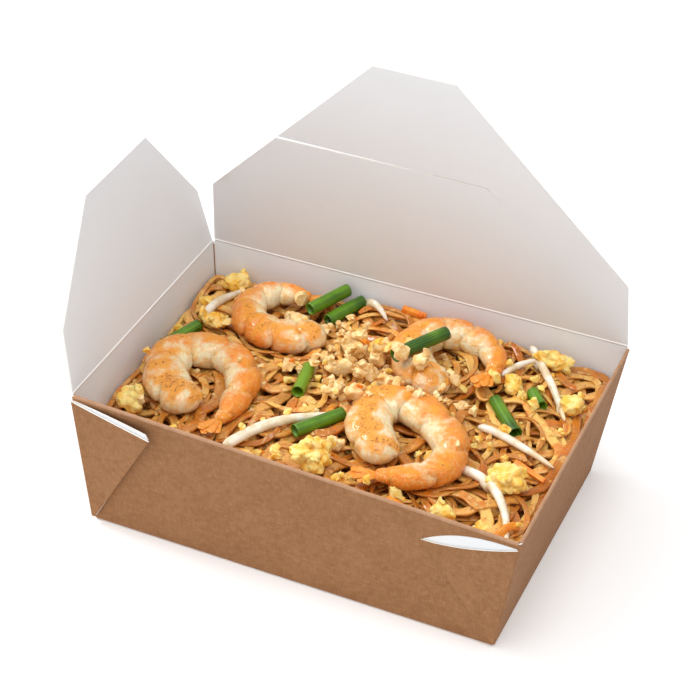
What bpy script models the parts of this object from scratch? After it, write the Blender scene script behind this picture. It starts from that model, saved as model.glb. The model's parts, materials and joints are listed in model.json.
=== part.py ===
"""A fold-top kraft carton, open at the back and left flaps, filled with stir-fried rice noodles,
prawns, scallion, egg and chopped peanuts. Metres, +Z up, origin under the middle of the carton's base.
The long side runs along X, the open left flap is at -X and the tall back flap at +Y."""

import math
import random

import bmesh
import bpy
from mathutils import Matrix, Vector, noise
from mathutils.bvhtree import BVHTree

MM = 0.001

# The carton, measured at its outer faces
RIM_LENGTH = 216 * MM
RIM_WIDTH = 150 * MM
BASE_LENGTH = 199 * MM
BASE_WIDTH = 138.5 * MM
HEIGHT = 70 * MM
RIM_TWIST = 3 * MM  # the open rim warps: front-left and back-right corners up, the other two down
BOARD = 0.7 * MM
CORNER_RADIUS = 1.5 * MM
HEM_DEPTH = 6 * MM
GAP = 0.35 * MM  # between solids that touch

# The corner webs: folded gussets that lie on the outside of the long walls
WEB_INNER = (0.3 * MM, (-0.3 * MM, 0.6 * MM))  # a layer's margin, and its faces outwards of the wall
WEB_OUTER = (0.6 * MM, (0.3 * MM, 1.2 * MM))
WEB_TIP_LEFT = (41 * MM, 8 * MM)  # along the wall from its corner, and down from the rim
WEB_TIP_RIGHT = (47 * MM, 15 * MM)
WEB_LIFT = math.radians(2.5)  # the front-left web stands off the wall
WEB_FOOT = 3 * MM  # the webs end this far above the base

# The flaps: crease to shoulder, crease to top edge, top edge, inset of each shoulder, lean outwards
BACK_FLAP = dict(
    side=36 * MM, reach=130.5 * MM, top=40 * MM, insets=(2.8 * MM, 2.8 * MM), lean=math.radians(-8.4)
)
LEFT_FLAP = dict(  # its back shoulder is cut in further, so that it swings past the back flap
    side=30.5 * MM, reach=77.5 * MM, top=60 * MM, insets=(4.4 * MM, 7.0 * MM), lean=math.radians(13.1)
)
FLAP_END_GAP = 1.3 * MM
CREASE_RISE = 0.7 * MM  # the fold line's height over the rim under it
BACK_STEP = 0.8 * MM  # the back rim stands one board higher, so its flap folds over the left one
SLIT_HEIGHT = 75.2 * MM
SLIT_WIDTH = 0.5 * MM
SLIT_END = 143 * MM
SLIT_HOOK = (8 * MM, 6.5 * MM)

# The noodle heap's bare core, under the strands and toppings
CORE_LEVEL = 56.5 * MM
CORE_WALL_GAP = 0.6 * MM
CORE_CELLS = (24, 17)
NOODLE_WIDTHS = (3.6 * MM, 6.4 * MM)
NOODLE_THICKNESS = 2.0 * MM
NOODLE_STEP = 4.6 * MM
NOODLE_RISE = (1.0 * MM, 3.6 * MM)
NOODLE_COUNT = 34
NOODLE_SEED = 5
NOODLE_SHORTEST = 6  # steps
TOPPING_GAP = 0.6 * MM
SLIVER = 0.02 * MM  # joining leaves faces thinner than this

# Each prawn: its spine from head end to tail in plan, half its width, half its thickness
PRAWNS = {
    "prawn_left": dict(
        spine=[(-63, -31), (-73, -36), (-85, -25), (-88, -8), (-77, 1), (-62, 0), (-51, -13),
               (-48, -28), (-48, -41), (-52, -52)],
        width=9.0, thickness=7.0,
    ),
    "prawn_front": dict(
        spine=[(36, -35), (26, -36), (16, -23), (17, -8), (28, -3), (44, -10), (56, -23), (57, -40),
               (46, -51), (35, -55), (25, -59)],
        width=9.0, thickness=7.2,
    ),
    "prawn_right": dict(
        spine=[(39, 21), (27, 21), (15, 32), (13, 46), (20, 57), (33, 60), (47, 54), (53, 42), (49, 31)],
        width=8.4, thickness=7.0,
    ),
    "prawn_back": dict(
        spine=[(-33, 40), (-40, 30), (-54, 26), (-67, 31), (-72, 44), (-66, 56), (-54, 61), (-43, 61)],
        width=8.0, thickness=6.5,
    ),
}
PRAWN_RINGS = 20
PRAWN_SIDES = 12
# Half width and half thickness along the body, as shares, from the rounded head end to the tail fan
PRAWN_PROFILE = [
    (0.00, 0.50, 0.45), (0.04, 0.90, 0.80), (0.12, 1.12, 1.00), (0.30, 1.10, 1.00), (0.50, 0.98, 0.96),
    (0.68, 0.84, 0.86), (0.80, 0.66, 0.70), (0.88, 0.44, 0.50), (0.92, 0.36, 0.32), (1.00, 0.70, 0.16),
]

# Scallion pieces: both ends in plan
SCALLIONS = {
    "scallion_left": ((-100, 4), (-91, 24)),
    "scallion_back_a": ((-44, 49), (-33, 70)),
    "scallion_back_b": ((-35, 51), (-25, 71)),
    "scallion_right": ((12, 17), (27, 45)),
    "scallion_middle": ((-28, 11), (-25, -9)),
    "scallion_front": ((-14, -38), (1, -17)),
    "scallion_side": ((60, 25), (77, 6)),
    "scallion_small": ((74, 38), (81, 30)),
}
SCALLION_RADIUS = 3.3 * MM
SCALLION_WALL = 1.1 * MM
SCALLION_RECESS = 2.5 * MM
SCALLION_SIDES = 12

# Egg pieces: middle in plan, half sizes, turn in degrees
EGGS = {
    "egg_left": ((-92, -45), (8.0, 7.5, 6.0), 20),
    "egg_corner": ((-89, 65), (8.0, 6.5, 5.0), 30),
    "egg_back": ((-85, 28), (6.0, 5.0, 4.5), 0),
    "egg_front": ((1, -54), (9.5, 9.0, 7.0), 75),
    "egg_right": ((87, -32), (10.5, 9.0, 6.5), -15),
    "egg_back_right": ((77, 63), (10.0, 6.0, 5.5), 5),
    "egg_middle_right": ((64, 38), (7.0, 5.0, 4.5), -60),
    "egg_side": ((94, 37), (7.0, 6.0, 5.0), 60),
    "egg_rim": ((67, -61), (7.0, 4.5, 4.0), 0),
}
EGG_LUMPS = 0.20

# Peanut pieces as large as berries: middle in plan, half sizes, turn in degrees
PEANUTS = {
    "peanut_1": ((-14, 14), (8.6, 5.2, 4.5), 10),
    "peanut_2": ((-9, -3), (6.6, 5.4, 4.8), 40),
    "peanut_3": ((1, 15), (5.2, 5.0, 4.6), 70),
    "peanut_4": ((12, 9), (4.8, 4.6, 4.0), -20),
    "peanut_5": ((2, -8), (4.6, 4.2, 3.8), 30),
    "peanut_6": ((-13, 30), (6.4, 5.4, 4.8), 0),
    "peanut_7": ((-49, 44), (6.0, 5.0, 4.6), 15),
    "peanut_8": ((0, 28), (5.6, 4.8, 4.4), -40),
    "peanut_9": ((6, -38), (4.4, 3.8, 3.6), 0),
    "peanut_10": ((25, 18), (5.4, 4.2, 3.8), 25),
}
PEANUT_LUMPS = 0.24

# Bean sprouts and carrot strips that lie in the noodles, as routes in plan
SPROUTS = [
    [(-93, 28), (-89, 42), (-82, 60)],
    [(-38, -57), (-30, -43), (-19, -31), (-13, -25)],
    [(58, 50), (66, 54), (72, 52)],
    [(72, 60), (76, 50), (84, 42)],
    [(66, -33), (76, -38), (86, -48), (93, -60)],
]
SPROUT_RADIUS = 1.7 * MM
CARROTS = [
    [(-4, 69), (8, 69)],
    [(18, 70), (35, 68)],
    [(88, -64), (95, -56)],
    [(-78, -60), (-66, -63)],
    [(43, -65), (54, -66)],
    [(84, -12), (97, -20)],
]
CARROT_HALF = 1.5 * MM
CRUMB_COUNT = 36
CRUMB_SIZES = (2.0 * MM, 3.4 * MM)
CRUMB_PATCH = ((4 * MM, 12 * MM), (34 * MM, 26 * MM))
CRUMB_SEED = 11


def material(name, colour, roughness):
    """A plain finish for one sub-part."""
    made = bpy.data.materials.new(name)
    made.use_nodes = True
    surface = made.node_tree.nodes["Principled BSDF"]
    surface.inputs["Base Color"].default_value = (*colour, 1)
    surface.inputs["Roughness"].default_value = roughness
    surface.inputs["Metallic"].default_value = 0
    return made


def collection(name):
    made = bpy.data.collections.new(name)
    bpy.context.scene.collection.children.link(made)
    return made


def add(name, mesh, home, finish=None, matrix=None):
    """Links a mesh as an object, in a collection, with its finish and place."""
    made = bpy.data.objects.new(name, mesh)
    home.objects.link(made)
    if finish:
        mesh.materials.append(finish)
    if matrix:
        made.matrix_world = matrix
    return made


def evaluated_mesh(thing):
    bpy.context.view_layer.update()
    graph = bpy.context.evaluated_depsgraph_get()
    return bpy.data.meshes.new_from_object(thing.evaluated_get(graph))


def clean_mesh(mesh, matrix=None):
    """Welds doubled points, moves the mesh and turns its faces outwards."""
    shape = bmesh.new()
    shape.from_mesh(mesh)
    bmesh.ops.remove_doubles(shape, verts=shape.verts, dist=0.001 * MM)
    if matrix:
        bmesh.ops.transform(shape, matrix=matrix, verts=shape.verts)
    bmesh.ops.recalc_face_normals(shape, faces=shape.faces)
    shape.to_mesh(mesh)
    shape.free()
    return mesh


def axes(origin, x, y, z):
    """The matrix that carries local axes onto x, y, z at origin."""
    return Matrix.Translation(origin) @ Matrix((x, y, z)).transposed().to_4x4()


def smooth(mesh):
    mesh.shade_smooth()
    mesh.set_sharp_from_angle(angle=math.radians(40))


def join_all(body, pieces_home, solver):
    """Joins every piece of a collection to the body with one Boolean, and removes the pieces."""
    union = body.modifiers.new("join", "BOOLEAN")
    union.operation = "UNION"
    union.operand_type = "COLLECTION"
    union.collection = pieces_home
    union.solver = solver
    joined = evaluated_mesh(body)
    body.modifiers.clear()
    body.data = joined
    for piece in list(pieces_home.objects):
        bpy.data.objects.remove(piece)


def outer_corner(side_x, side_y, height):
    """A point on the carton's outer corner edge, at a height. Both sides are -1 or 1."""
    share = height / HEIGHT
    x = BASE_LENGTH / 2 + (RIM_LENGTH - BASE_LENGTH) / 2 * share
    y = BASE_WIDTH / 2 + (RIM_WIDTH - BASE_WIDTH) / 2 * share
    return Vector((side_x * x, side_y * y, height))


def rim_corner(side_x, side_y):
    return outer_corner(side_x, side_y, HEIGHT + RIM_TWIST * side_x * side_y)


def wall_axes(start, end):
    """Axes of a wall from one rim corner to another: along the rim, down the wall and outwards."""
    top = rim_corner(*start)
    along = (rim_corner(*end) - top).normalized()
    foot = outer_corner(*start, 0) - top
    down = (foot - along * foot.dot(along)).normalized()
    outward = along.cross(down)
    if outward.dot(Vector((start[0] + end[0], start[1] + end[1], 0))) < 0:
        outward = -outward
    return top, along, down, outward


def flat_board(outline, thickness):
    """A flat board from its outline on XY, with its thickness centred there."""
    curve = bpy.data.curves.new("outline", "CURVE")
    curve.dimensions = "2D"
    curve.fill_mode = "BOTH"
    curve.extrude = thickness / 2
    spline = curve.splines.new("POLY")
    spline.points.add(len(outline) - 1)
    for point, (x, y) in zip(spline.points, outline):
        point.co = (x, y, 0, 1)
    spline.use_cyclic_u = True
    flat = bpy.data.objects.new("outline", curve)
    bpy.context.scene.collection.objects.link(flat)
    mesh = clean_mesh(evaluated_mesh(flat))
    bpy.data.objects.remove(flat)
    return mesh


def slab_on_wall(start, end, top, bottom, inner, outer, home):
    """A strip along a whole wall, between two distances down from the rim and two outwards."""
    origin, along, down, outward = wall_axes(start, end)
    length = (rim_corner(*end) - rim_corner(*start)).length
    size = Vector((length - 2 * CORNER_RADIUS, bottom - top, outer - inner))
    middle = Vector((length / 2, (bottom + top) / 2, (outer + inner) / 2))
    shape = bmesh.new()
    bmesh.ops.create_cube(shape, size=1, matrix=Matrix.LocRotScale(middle, None, size))
    mesh = bpy.data.meshes.new("strip")
    shape.to_mesh(mesh)
    shape.free()
    clean_mesh(mesh, axes(origin, along, down, outward))
    add("strip", mesh, home)


def web_outline(tip, rise, foot, margin):
    """A web's outline: its curved top edge from the corner to the tip, then down its diagonal fold.
    A rise of 2 gives the inner layer's edge, and below 1 the outer layer's lower one."""
    tip_along, tip_down = tip
    steps = 8
    edge = []
    for step in range(steps + 1):
        share = step / steps
        drop = share**rise if rise > 1 else 1 - (1 - share) ** (1 / rise)
        edge.append((margin + (tip_along - 2 * margin) * share, margin + tip_down * drop))
    return edge + [(margin + CORNER_RADIUS, foot - margin), (margin, foot - margin)]


def web(start, end, tip, lift, home):
    """The two layers of one corner web, on the wall from start to end and hinged at start."""
    origin, along, down, outward = wall_axes(start, end)
    edge_slope = outer_corner(*start, 0) - origin
    shear = edge_slope.dot(along) / edge_slope.dot(down)
    foot = edge_slope.dot(down) - WEB_FOOT
    turned = Matrix.Rotation(lift if along.cross(down).dot(outward) < 0 else -lift, 3, down)
    along, outward = turned @ along, turned @ outward
    for rise, margin, faces in ((2.0, *WEB_INNER), (0.53, *WEB_OUTER)):
        outline = [(u + shear * v, v) for u, v in web_outline(tip, rise, foot, margin)]
        mesh = flat_board(outline, faces[1] - faces[0])
        clean_mesh(mesh, axes(origin + outward * sum(faces) / 2, along, down, outward))
        add("web", mesh, home)


def build_carton(home, finish):
    """Base, walls, hemmed rims, the step at the back crease and the four webs, as one solid."""
    shape = bmesh.new()
    bmesh.ops.create_cube(shape, size=2)
    for point in shape.verts:
        side_x, side_y = math.copysign(1, point.co.x), math.copysign(1, point.co.y)
        point.co = rim_corner(side_x, side_y) if point.co.z > 0 else outer_corner(side_x, side_y, 0)
    lid = [face for face in shape.faces if all(point.co.z > 0 for point in face.verts)]
    bmesh.ops.delete(shape, geom=lid, context="FACES_ONLY")
    mesh = bpy.data.meshes.new("carton")
    shape.to_mesh(mesh)
    shape.free()
    carton = add("carton", mesh, home, finish)
    rounding = carton.modifiers.new("rounded folds", "BEVEL")
    rounding.width = CORNER_RADIUS
    rounding.segments = 2
    walls = carton.modifiers.new("board", "SOLIDIFY")
    walls.thickness = BOARD
    walls.offset = -1
    walls.use_even_offset = True
    extras = collection("carton extras")
    inner = -2 * BOARD
    slab_on_wall((-1, -1), (1, -1), 0.1 * MM, HEM_DEPTH, inner, -BOARD / 2, extras)
    slab_on_wall((1, -1), (1, 1), 0.1 * MM, HEM_DEPTH, inner, -BOARD / 2, extras)
    slab_on_wall((-1, 1), (1, 1), -BACK_STEP, BOARD, -BOARD + 0.05 * MM, -0.05 * MM, extras)
    web((-1, -1), (1, -1), WEB_TIP_LEFT, WEB_LIFT, extras)
    web((1, -1), (-1, -1), WEB_TIP_RIGHT, 0, extras)
    web((-1, 1), (1, 1), WEB_TIP_RIGHT, 0, extras)
    web((1, 1), (-1, 1), WEB_TIP_LEFT, 0, extras)
    join_all(carton, extras, "EXACT")
    return carton


def flap_outline(length, shape, slit=False):
    """A flap's six-sided outline from its crease up, with the locking slit where there is one."""
    left = (length - shape["top"]) / 2
    inset, end_inset = shape["insets"]
    outline = [(FLAP_END_GAP, 0), (inset, shape["side"])]
    if slit:
        slope = (left - inset) / (shape["reach"] - shape["side"])
        low, high = SLIT_HEIGHT - SLIT_WIDTH / 2, SLIT_HEIGHT + SLIT_WIDTH / 2
        tip = (SLIT_END + SLIT_HOOK[0], SLIT_HEIGHT - SLIT_HOOK[1])
        outline.append((inset + slope * (low - shape["side"]), low))
        outline.append((SLIT_END, low))
        outline.append(tip)
        outline.append((SLIT_END + SLIT_WIDTH, high))
        outline.append((inset + slope * (high - shape["side"]), high))
    outline += [(left, shape["reach"]), (length - left, shape["reach"])]
    outline += [(length - end_inset, shape["side"]), (length - FLAP_END_GAP, 0)]
    return outline


def build_flap(name, start, end, shape, rise, home, finish, slit=False):
    """A flap whose origin and local X lie on its crease. Its local +Z is the white inner side."""
    origin, along, down, outward = wall_axes(start, end)
    length = (rim_corner(*end) - origin).length
    level_out = Vector((outward.x, outward.y, 0)).normalized()
    crease = origin - outward * BOARD / 2 - down * rise
    upright = (Vector((0, 0, 1)) - along * along.z).normalized()
    direction = (upright * math.cos(shape["lean"]) + level_out * math.sin(shape["lean"])).normalized()
    mesh = flat_board(flap_outline(length, shape, slit), BOARD)
    return add(name, mesh, home, finish, axes(crease, along, direction, along.cross(direction)))


def inner_half(height, base, rim, inset):
    """Half the space between two facing walls at a height, less an inset."""
    return base / 2 + (rim - base) / 2 * height / HEIGHT - BOARD - inset


def soft_step(value):
    """0 below 0, 1 above 1, and a smooth step between."""
    value = min(max(value, 0), 1)
    return value * value * (3 - 2 * value)


def fade(distance, reach):
    """1 at a wall, fading away from it."""
    return math.exp(-max(distance, 0) / reach)


def core_height(x, y):
    """The bare core's level: lower along the left wall and in the corners, a bank at the back wall."""
    half_length, half_width = RIM_LENGTH / 2, RIM_WIDTH / 2
    left = 5 * MM * soft_step(-x / (60 * MM)) + 6 * MM * fade(half_length + x, 14 * MM)
    right = 3 * MM * fade(half_length - x, 12 * MM)
    front = 3 * MM * fade(half_width + y, 12 * MM)
    inland = soft_step((x + 32 * MM) / (22 * MM)) * soft_step((96 * MM - x) / (22 * MM))
    bank = 8 * MM * fade(half_width - y, 4 * MM) * inland
    corner = Vector((x + half_length, y - half_width)).length
    pit = 4 * MM * math.exp(-((corner / (24 * MM)) ** 2))
    swell = 0.9 * MM * noise.noise(Vector((x, y, 0)) / (17 * MM))
    return CORE_LEVEL - left - right - front + bank - pit + swell


def build_core():
    """The heap without its strands: a grid shaped to the core level, closed down to the base."""
    shape = bmesh.new()
    cells_x, cells_y = CORE_CELLS
    bmesh.ops.create_grid(shape, x_segments=cells_x, y_segments=cells_y, size=1)
    border = [edge for edge in shape.edges if edge.is_boundary]
    skirt = bmesh.ops.extrude_edge_only(shape, edges=border)["geom"]
    lower = {point for point in skirt if isinstance(point, bmesh.types.BMVert)}
    for point in shape.verts:
        share_x, share_y = point.co.x, point.co.y
        height = BOARD + GAP if point in lower else CORE_LEVEL
        for _ in range(1 if point in lower else 3):
            x = share_x * inner_half(height, BASE_LENGTH, RIM_LENGTH, CORE_WALL_GAP)
            y = share_y * inner_half(height, BASE_WIDTH, RIM_WIDTH, CORE_WALL_GAP)
            if point not in lower:
                height = core_height(x, y)
        point.co = (x, y, height)
    bmesh.ops.contextual_create(shape, geom=[edge for edge in shape.edges if edge.is_boundary])
    bmesh.ops.recalc_face_normals(shape, faces=shape.faces)
    mesh = bpy.data.meshes.new("noodle_heap")
    shape.to_mesh(mesh)
    shape.free()
    return mesh


def loft(centres, sides_x, sides_y, half_x, half_y, sides):
    """A closed skin over rings: each has a centre, two side directions and two half sizes.
    Four sides make a strip with flat faces, more make a round body."""
    shape = bmesh.new()
    turn = 0.5 if sides == 4 else 0
    reach = math.sqrt(2) if sides == 4 else 1
    rings = []
    for centre, side_x, side_y, size_x, size_y in zip(centres, sides_x, sides_y, half_x, half_y):
        ring = []
        for index in range(sides):
            angle = 2 * math.pi * (index + turn) / sides
            x, y = reach * size_x * math.cos(angle), reach * size_y * math.sin(angle)
            ring.append(shape.verts.new(centre + side_x * x + side_y * y))
        rings.append(ring)
    for ring, following in zip(rings, rings[1:]):
        for index in range(sides):
            after = (index + 1) % sides
            shape.faces.new((ring[index], ring[after], following[after], following[index]))
    shape.faces.new(rings[0])
    shape.faces.new(rings[-1])
    bmesh.ops.recalc_face_normals(shape, faces=shape.faces)
    mesh = bpy.data.meshes.new("loft")
    shape.to_mesh(mesh)
    shape.free()
    return mesh


def spline_point(points, share):
    """A point at a share of a smooth curve through the points."""
    place = share * (len(points) - 1)
    index = min(int(place), len(points) - 2)
    t = place - index
    before = points[index - 1] if index else points[0] * 2 - points[1]
    after = points[index + 2] if index + 2 < len(points) else points[-1] * 2 - points[-2]
    a, b = points[index], points[index + 1]
    return 0.5 * (
        2 * a + (b - before) * t + (2 * before - 5 * a + 4 * b - after) * t**2
        + (3 * a - before - 3 * b + after) * t**3
    )


def table_value(table, share, column):
    """A value between the rows of a table whose first column is the share."""
    for row, following in zip(table, table[1:]):
        if share <= following[0]:
            part = (share - row[0]) / (following[0] - row[0])
            return row[column] + (following[column] - row[column]) * part
    return table[-1][column]


def along_curve(points, count):
    """Evenly shared points of a smooth curve, each with its direction."""
    placed = [spline_point(points, step / (count - 1)) for step in range(count)]
    ahead = [
        (placed[min(i + 1, count - 1)] - placed[max(i - 1, 0)]).normalized() for i in range(count)
    ]
    return placed, ahead


def prawn_mesh(spine, width, thickness):
    """A curled peeled prawn on its side, from the thick head end to the flattened tail fan."""
    points = [Vector((x, y, 0)) * MM for x, y in spine]
    centres, ahead = along_curve(points, PRAWN_RINGS)
    across = [Vector((0, 0, 1)).cross(direction).normalized() for direction in ahead]
    shares = [index / (PRAWN_RINGS - 1) for index in range(PRAWN_RINGS)]
    ripple = [1 + 0.04 * math.cos(share * 7 * 2 * math.pi) for share in shares]
    half_x = [table_value(PRAWN_PROFILE, s, 1) * width * MM * r for s, r in zip(shares, ripple)]
    half_y = [table_value(PRAWN_PROFILE, s, 2) * thickness * MM * r for s, r in zip(shares, ripple)]
    upright = [Vector((0, 0, 1))] * PRAWN_RINGS
    mesh = loft(centres, across, upright, half_x, half_y, PRAWN_SIDES)
    smooth(mesh)
    return mesh


def scallion_mesh(length):
    """A cut scallion tube along local Z, its open ends sunk."""
    shape = bmesh.new()
    bmesh.ops.create_cone(
        shape, cap_ends=True, segments=SCALLION_SIDES, radius1=SCALLION_RADIUS,
        radius2=SCALLION_RADIUS, depth=length,
    )
    caps = [face for face in shape.faces if len(face.verts) == SCALLION_SIDES]
    bmesh.ops.inset_individual(shape, faces=caps, thickness=SCALLION_WALL)
    for cap in caps:
        sink = cap.normal * -SCALLION_RECESS
        extruded = bmesh.ops.extrude_discrete_faces(shape, faces=[cap])["faces"]
        bmesh.ops.translate(shape, vec=sink, verts=extruded[0].verts)
    mesh = bpy.data.meshes.new("scallion")
    shape.to_mesh(mesh)
    shape.free()
    smooth(mesh)
    return mesh


def lump_mesh(half_sizes, lumps, detail, seed):
    """An uneven crumb: a ball stretched to three half sizes, with lumps."""
    shape = bmesh.new()
    bmesh.ops.create_icosphere(shape, subdivisions=detail, radius=1)
    shift = Vector((seed * 3.7, seed * 1.3, seed * 2.1))
    for point in shape.verts:
        swell = 1 + lumps * 2 * noise.noise(point.co * 1.5 + shift)
        point.co = Vector(size * part for size, part in zip(half_sizes, point.co * swell))
    mesh = bpy.data.meshes.new("lump")
    shape.to_mesh(mesh)
    shape.free()
    return mesh


def world_points(thing):
    return [thing.matrix_world @ point.co for point in thing.data.vertices]


def sample_points(points, faces):
    """Corners, edge middles and face middles of a mesh."""
    samples = list(points)
    for face in faces:
        corners = [points[index] for index in face]
        samples.append(sum(corners, Vector()) / len(corners))
        for corner, following in zip(corners, corners[1:] + corners[:1]):
            samples.append((corner + following) / 2)
    return samples


def settle(thing, supports):
    """Lowers a piece straight down until it rests TOPPING_GAP above what is under it."""
    bpy.context.view_layer.update()
    points = world_points(thing)
    faces = [tuple(face.vertices) for face in thing.data.polygons]
    tree = BVHTree.FromPolygons(points, faces)
    down, up = Vector((0, 0, -1)), Vector((0, 0, 1))
    drops = []
    for support_points, support_faces, support_tree in supports:
        for point in sample_points(points, faces):
            hit = support_tree.ray_cast(point, down)
            if hit[0]:
                drops.append(hit[3])
        for point in sample_points(support_points, support_faces):
            hit = tree.ray_cast(point, up)
            if hit[0]:
                drops.append(hit[3])
    thing.location.z -= min(drops) - TOPPING_GAP
    bpy.context.view_layer.update()


def as_support(thing):
    points = world_points(thing)
    faces = [tuple(face.vertices) for face in thing.data.polygons]
    return points, faces, BVHTree.FromPolygons(points, faces)


def build_toppings(core, home, finishes):
    """Every topping as its own solid, each lowered onto the core and the toppings before it."""
    start_height = 2 * HEIGHT
    supports = [as_support(core)]
    placed = []

    def drop(thing):
        settle(thing, supports)
        supports.append(as_support(thing))
        placed.append(thing)

    for name, prawn in PRAWNS.items():
        mesh = prawn_mesh(prawn["spine"], prawn["width"], prawn["thickness"])
        drop(add(name, mesh, home, finishes["prawn"], Matrix.Translation((0, 0, start_height))))
    for seed, (name, (middle, half_sizes, turn)) in enumerate(EGGS.items()):
        detail = 3 if half_sizes[0] > 9 else 2
        mesh = lump_mesh([size * MM for size in half_sizes], EGG_LUMPS, detail, seed)
        matrix = Matrix.Translation((middle[0] * MM, middle[1] * MM, start_height))
        drop(add(name, mesh, home, finishes["egg"], matrix @ Matrix.Rotation(math.radians(turn), 4, "Z")))
    for name, (end_a, end_b) in SCALLIONS.items():
        a, b = (Vector((x, y, 0)) * MM for x, y in (end_a, end_b))
        slope = core_height(b.x, b.y) - core_height(a.x, a.y)
        direction = Vector((b.x - a.x, b.y - a.y, slope))
        turned = direction.to_track_quat("Z", "Y").to_matrix().to_4x4()
        middle = Matrix.Translation((a + b) / 2 + Vector((0, 0, start_height)))
        drop(add(name, scallion_mesh(direction.length), home, finishes["scallion"], middle @ turned))
    for seed, (name, (middle, half_sizes, turn)) in enumerate(PEANUTS.items()):
        mesh = lump_mesh([size * MM for size in half_sizes], PEANUT_LUMPS, 2, seed + 20)
        matrix = Matrix.Translation((middle[0] * MM, middle[1] * MM, start_height))
        drop(add(name, mesh, home, finishes["peanut"], matrix @ Matrix.Rotation(math.radians(turn), 4, "Z")))
    return placed, supports[1:]


def clearance(point, obstacles):
    """The distance from a point to the nearest topping."""
    return min(tree.find_nearest(point)[3] for _, _, tree in obstacles)


def inside_walls(point, margin):
    """Whether a point is at least a margin inside the walls and their hems."""
    edge = margin + 2 * BOARD
    return (
        abs(point.x) < inner_half(point.z, BASE_LENGTH, RIM_LENGTH, edge)
        and abs(point.y) < inner_half(point.z, BASE_WIDTH, RIM_WIDTH, edge)
    )


def longest_free_run(points, half_width, obstacles):
    """The longest stretch of a route that stays clear of toppings and walls."""
    best, run = [], []
    for point in points:
        free = inside_walls(point, half_width) and clearance(point, obstacles) > half_width + TOPPING_GAP
        run = run + [point] if free else []
        if len(run) > len(best):
            best = run
    return best


def strand(points, half_width, half_thickness, sides, home):
    """One strand through the points, lying flat, with its ends dipping into the core."""
    count = len(points)
    if count < 2:
        return
    centres = [Vector(point) for point in points]
    for end in (centres[0], centres[-1]):
        end.z = core_height(end.x, end.y) - half_thickness
    ahead = [
        (centres[min(i + 1, count - 1)] - centres[max(i - 1, 0)]).normalized() for i in range(count)
    ]
    across = [direction.cross(Vector((0, 0, 1))).normalized() for direction in ahead]
    upright = [side.cross(direction) for side, direction in zip(across, ahead)]
    half_x, half_y = [half_width] * count, [half_thickness] * count
    add("strand", loft(centres, across, upright, half_x, half_y, sides), home)


def lay_strip(route, half_width, half_thickness, sides, home, obstacles):
    """A sprout or carrot strip along its route, resting on the core."""
    flat = [Vector((x, y, 0)) * MM for x, y in route]
    count = 4 * (len(route) - 1) + 1
    placed, _ = along_curve(flat, count)
    for point in placed:
        point.z = core_height(point.x, point.y) + half_thickness * 0.8
    strand(longest_free_run(placed, half_width, obstacles), half_width, half_thickness, sides, home)


def wander(rng, start):
    """A curved noodle route over the core from a starting point."""
    heading = rng.uniform(0, 2 * math.pi)
    bend = rng.uniform(-0.3, 0.3)
    lift = rng.uniform(*NOODLE_RISE)
    wave = rng.uniform(0, 2 * math.pi)
    here = start.copy()
    points = []
    for step in range(rng.randint(12, 19)):
        here = here + Vector((math.cos(heading), math.sin(heading), 0)) * NOODLE_STEP
        heading += bend
        bend += rng.uniform(-0.12, 0.12)
        rise = lift * (0.5 + 0.5 * math.sin(step * 0.9 + wave))
        level = core_height(here.x, here.y) + rise + 0.3 * NOODLE_THICKNESS
        points.append(Vector((here.x, here.y, level)))
    return points


def lay_noodles(home, obstacles):
    """Noodle strands spread evenly over the core, cut short where a topping lies."""
    rng = random.Random(NOODLE_SEED)
    columns, rows = 14, 10
    cells = [(column, row) for column in range(columns) for row in range(rows)]
    rng.shuffle(cells)
    laid = 0
    for column, row in cells:
        if laid == NOODLE_COUNT:
            break
        x = ((column + rng.random()) / columns - 0.5) * BASE_LENGTH
        y = ((row + rng.random()) / rows - 0.5) * BASE_WIDTH
        half_width = rng.uniform(*NOODLE_WIDTHS) / 2
        run = longest_free_run(wander(rng, Vector((x, y, 0))), half_width, obstacles)
        if len(run) >= NOODLE_SHORTEST:
            strand(run, half_width, NOODLE_THICKNESS / 2, 4, home)
            laid += 1


def scatter_crumbs(home, obstacles):
    """Small peanut crumbs around the middle, sunk a little into the core."""
    rng = random.Random(CRUMB_SEED)
    (middle_x, middle_y), (spread_x, spread_y) = CRUMB_PATCH
    for index in range(CRUMB_COUNT):
        size = rng.uniform(*CRUMB_SIZES)
        x = middle_x + rng.gauss(0, 0.6) * spread_x
        y = middle_y + rng.gauss(0, 0.6) * spread_y
        place = Vector((x, y, core_height(x, y) + 0.2 * size))
        if clearance(place, obstacles) > 1.4 * size + TOPPING_GAP and inside_walls(place, size):
            mesh = lump_mesh((size, size * 0.85, size * 0.8), 0.2, 1, index + 40)
            add("crumb", mesh, home, matrix=Matrix.Translation(place))


def keep_outer_skin(mesh):
    """Drops the sealed hollows and loose scraps that joining leaves, so that one body stays."""
    shape = bmesh.new()
    shape.from_mesh(mesh)
    bmesh.ops.remove_doubles(shape, verts=shape.verts, dist=SLIVER)
    bmesh.ops.dissolve_degenerate(shape, edges=shape.edges, dist=SLIVER)
    bmesh.ops.triangulate(shape, faces=shape.faces)
    left = set(shape.faces)
    islands = []
    while left:
        island, edge_of_search = set(), [left.pop()]
        while edge_of_search:
            face = edge_of_search.pop()
            island.add(face)
            plain = [edge for edge in face.edges if len(edge.link_faces) == 2]
            near = {other for edge in plain for other in edge.link_faces} & left
            left -= near
            edge_of_search.extend(near)
        islands.append(island)
    largest = max(islands, key=lambda island: sum(face.calc_area() for face in island))
    spare = [face for island in islands if island is not largest for face in island]
    bmesh.ops.delete(shape, geom=spare, context="FACES")
    shape.to_mesh(mesh)
    shape.free()


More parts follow.
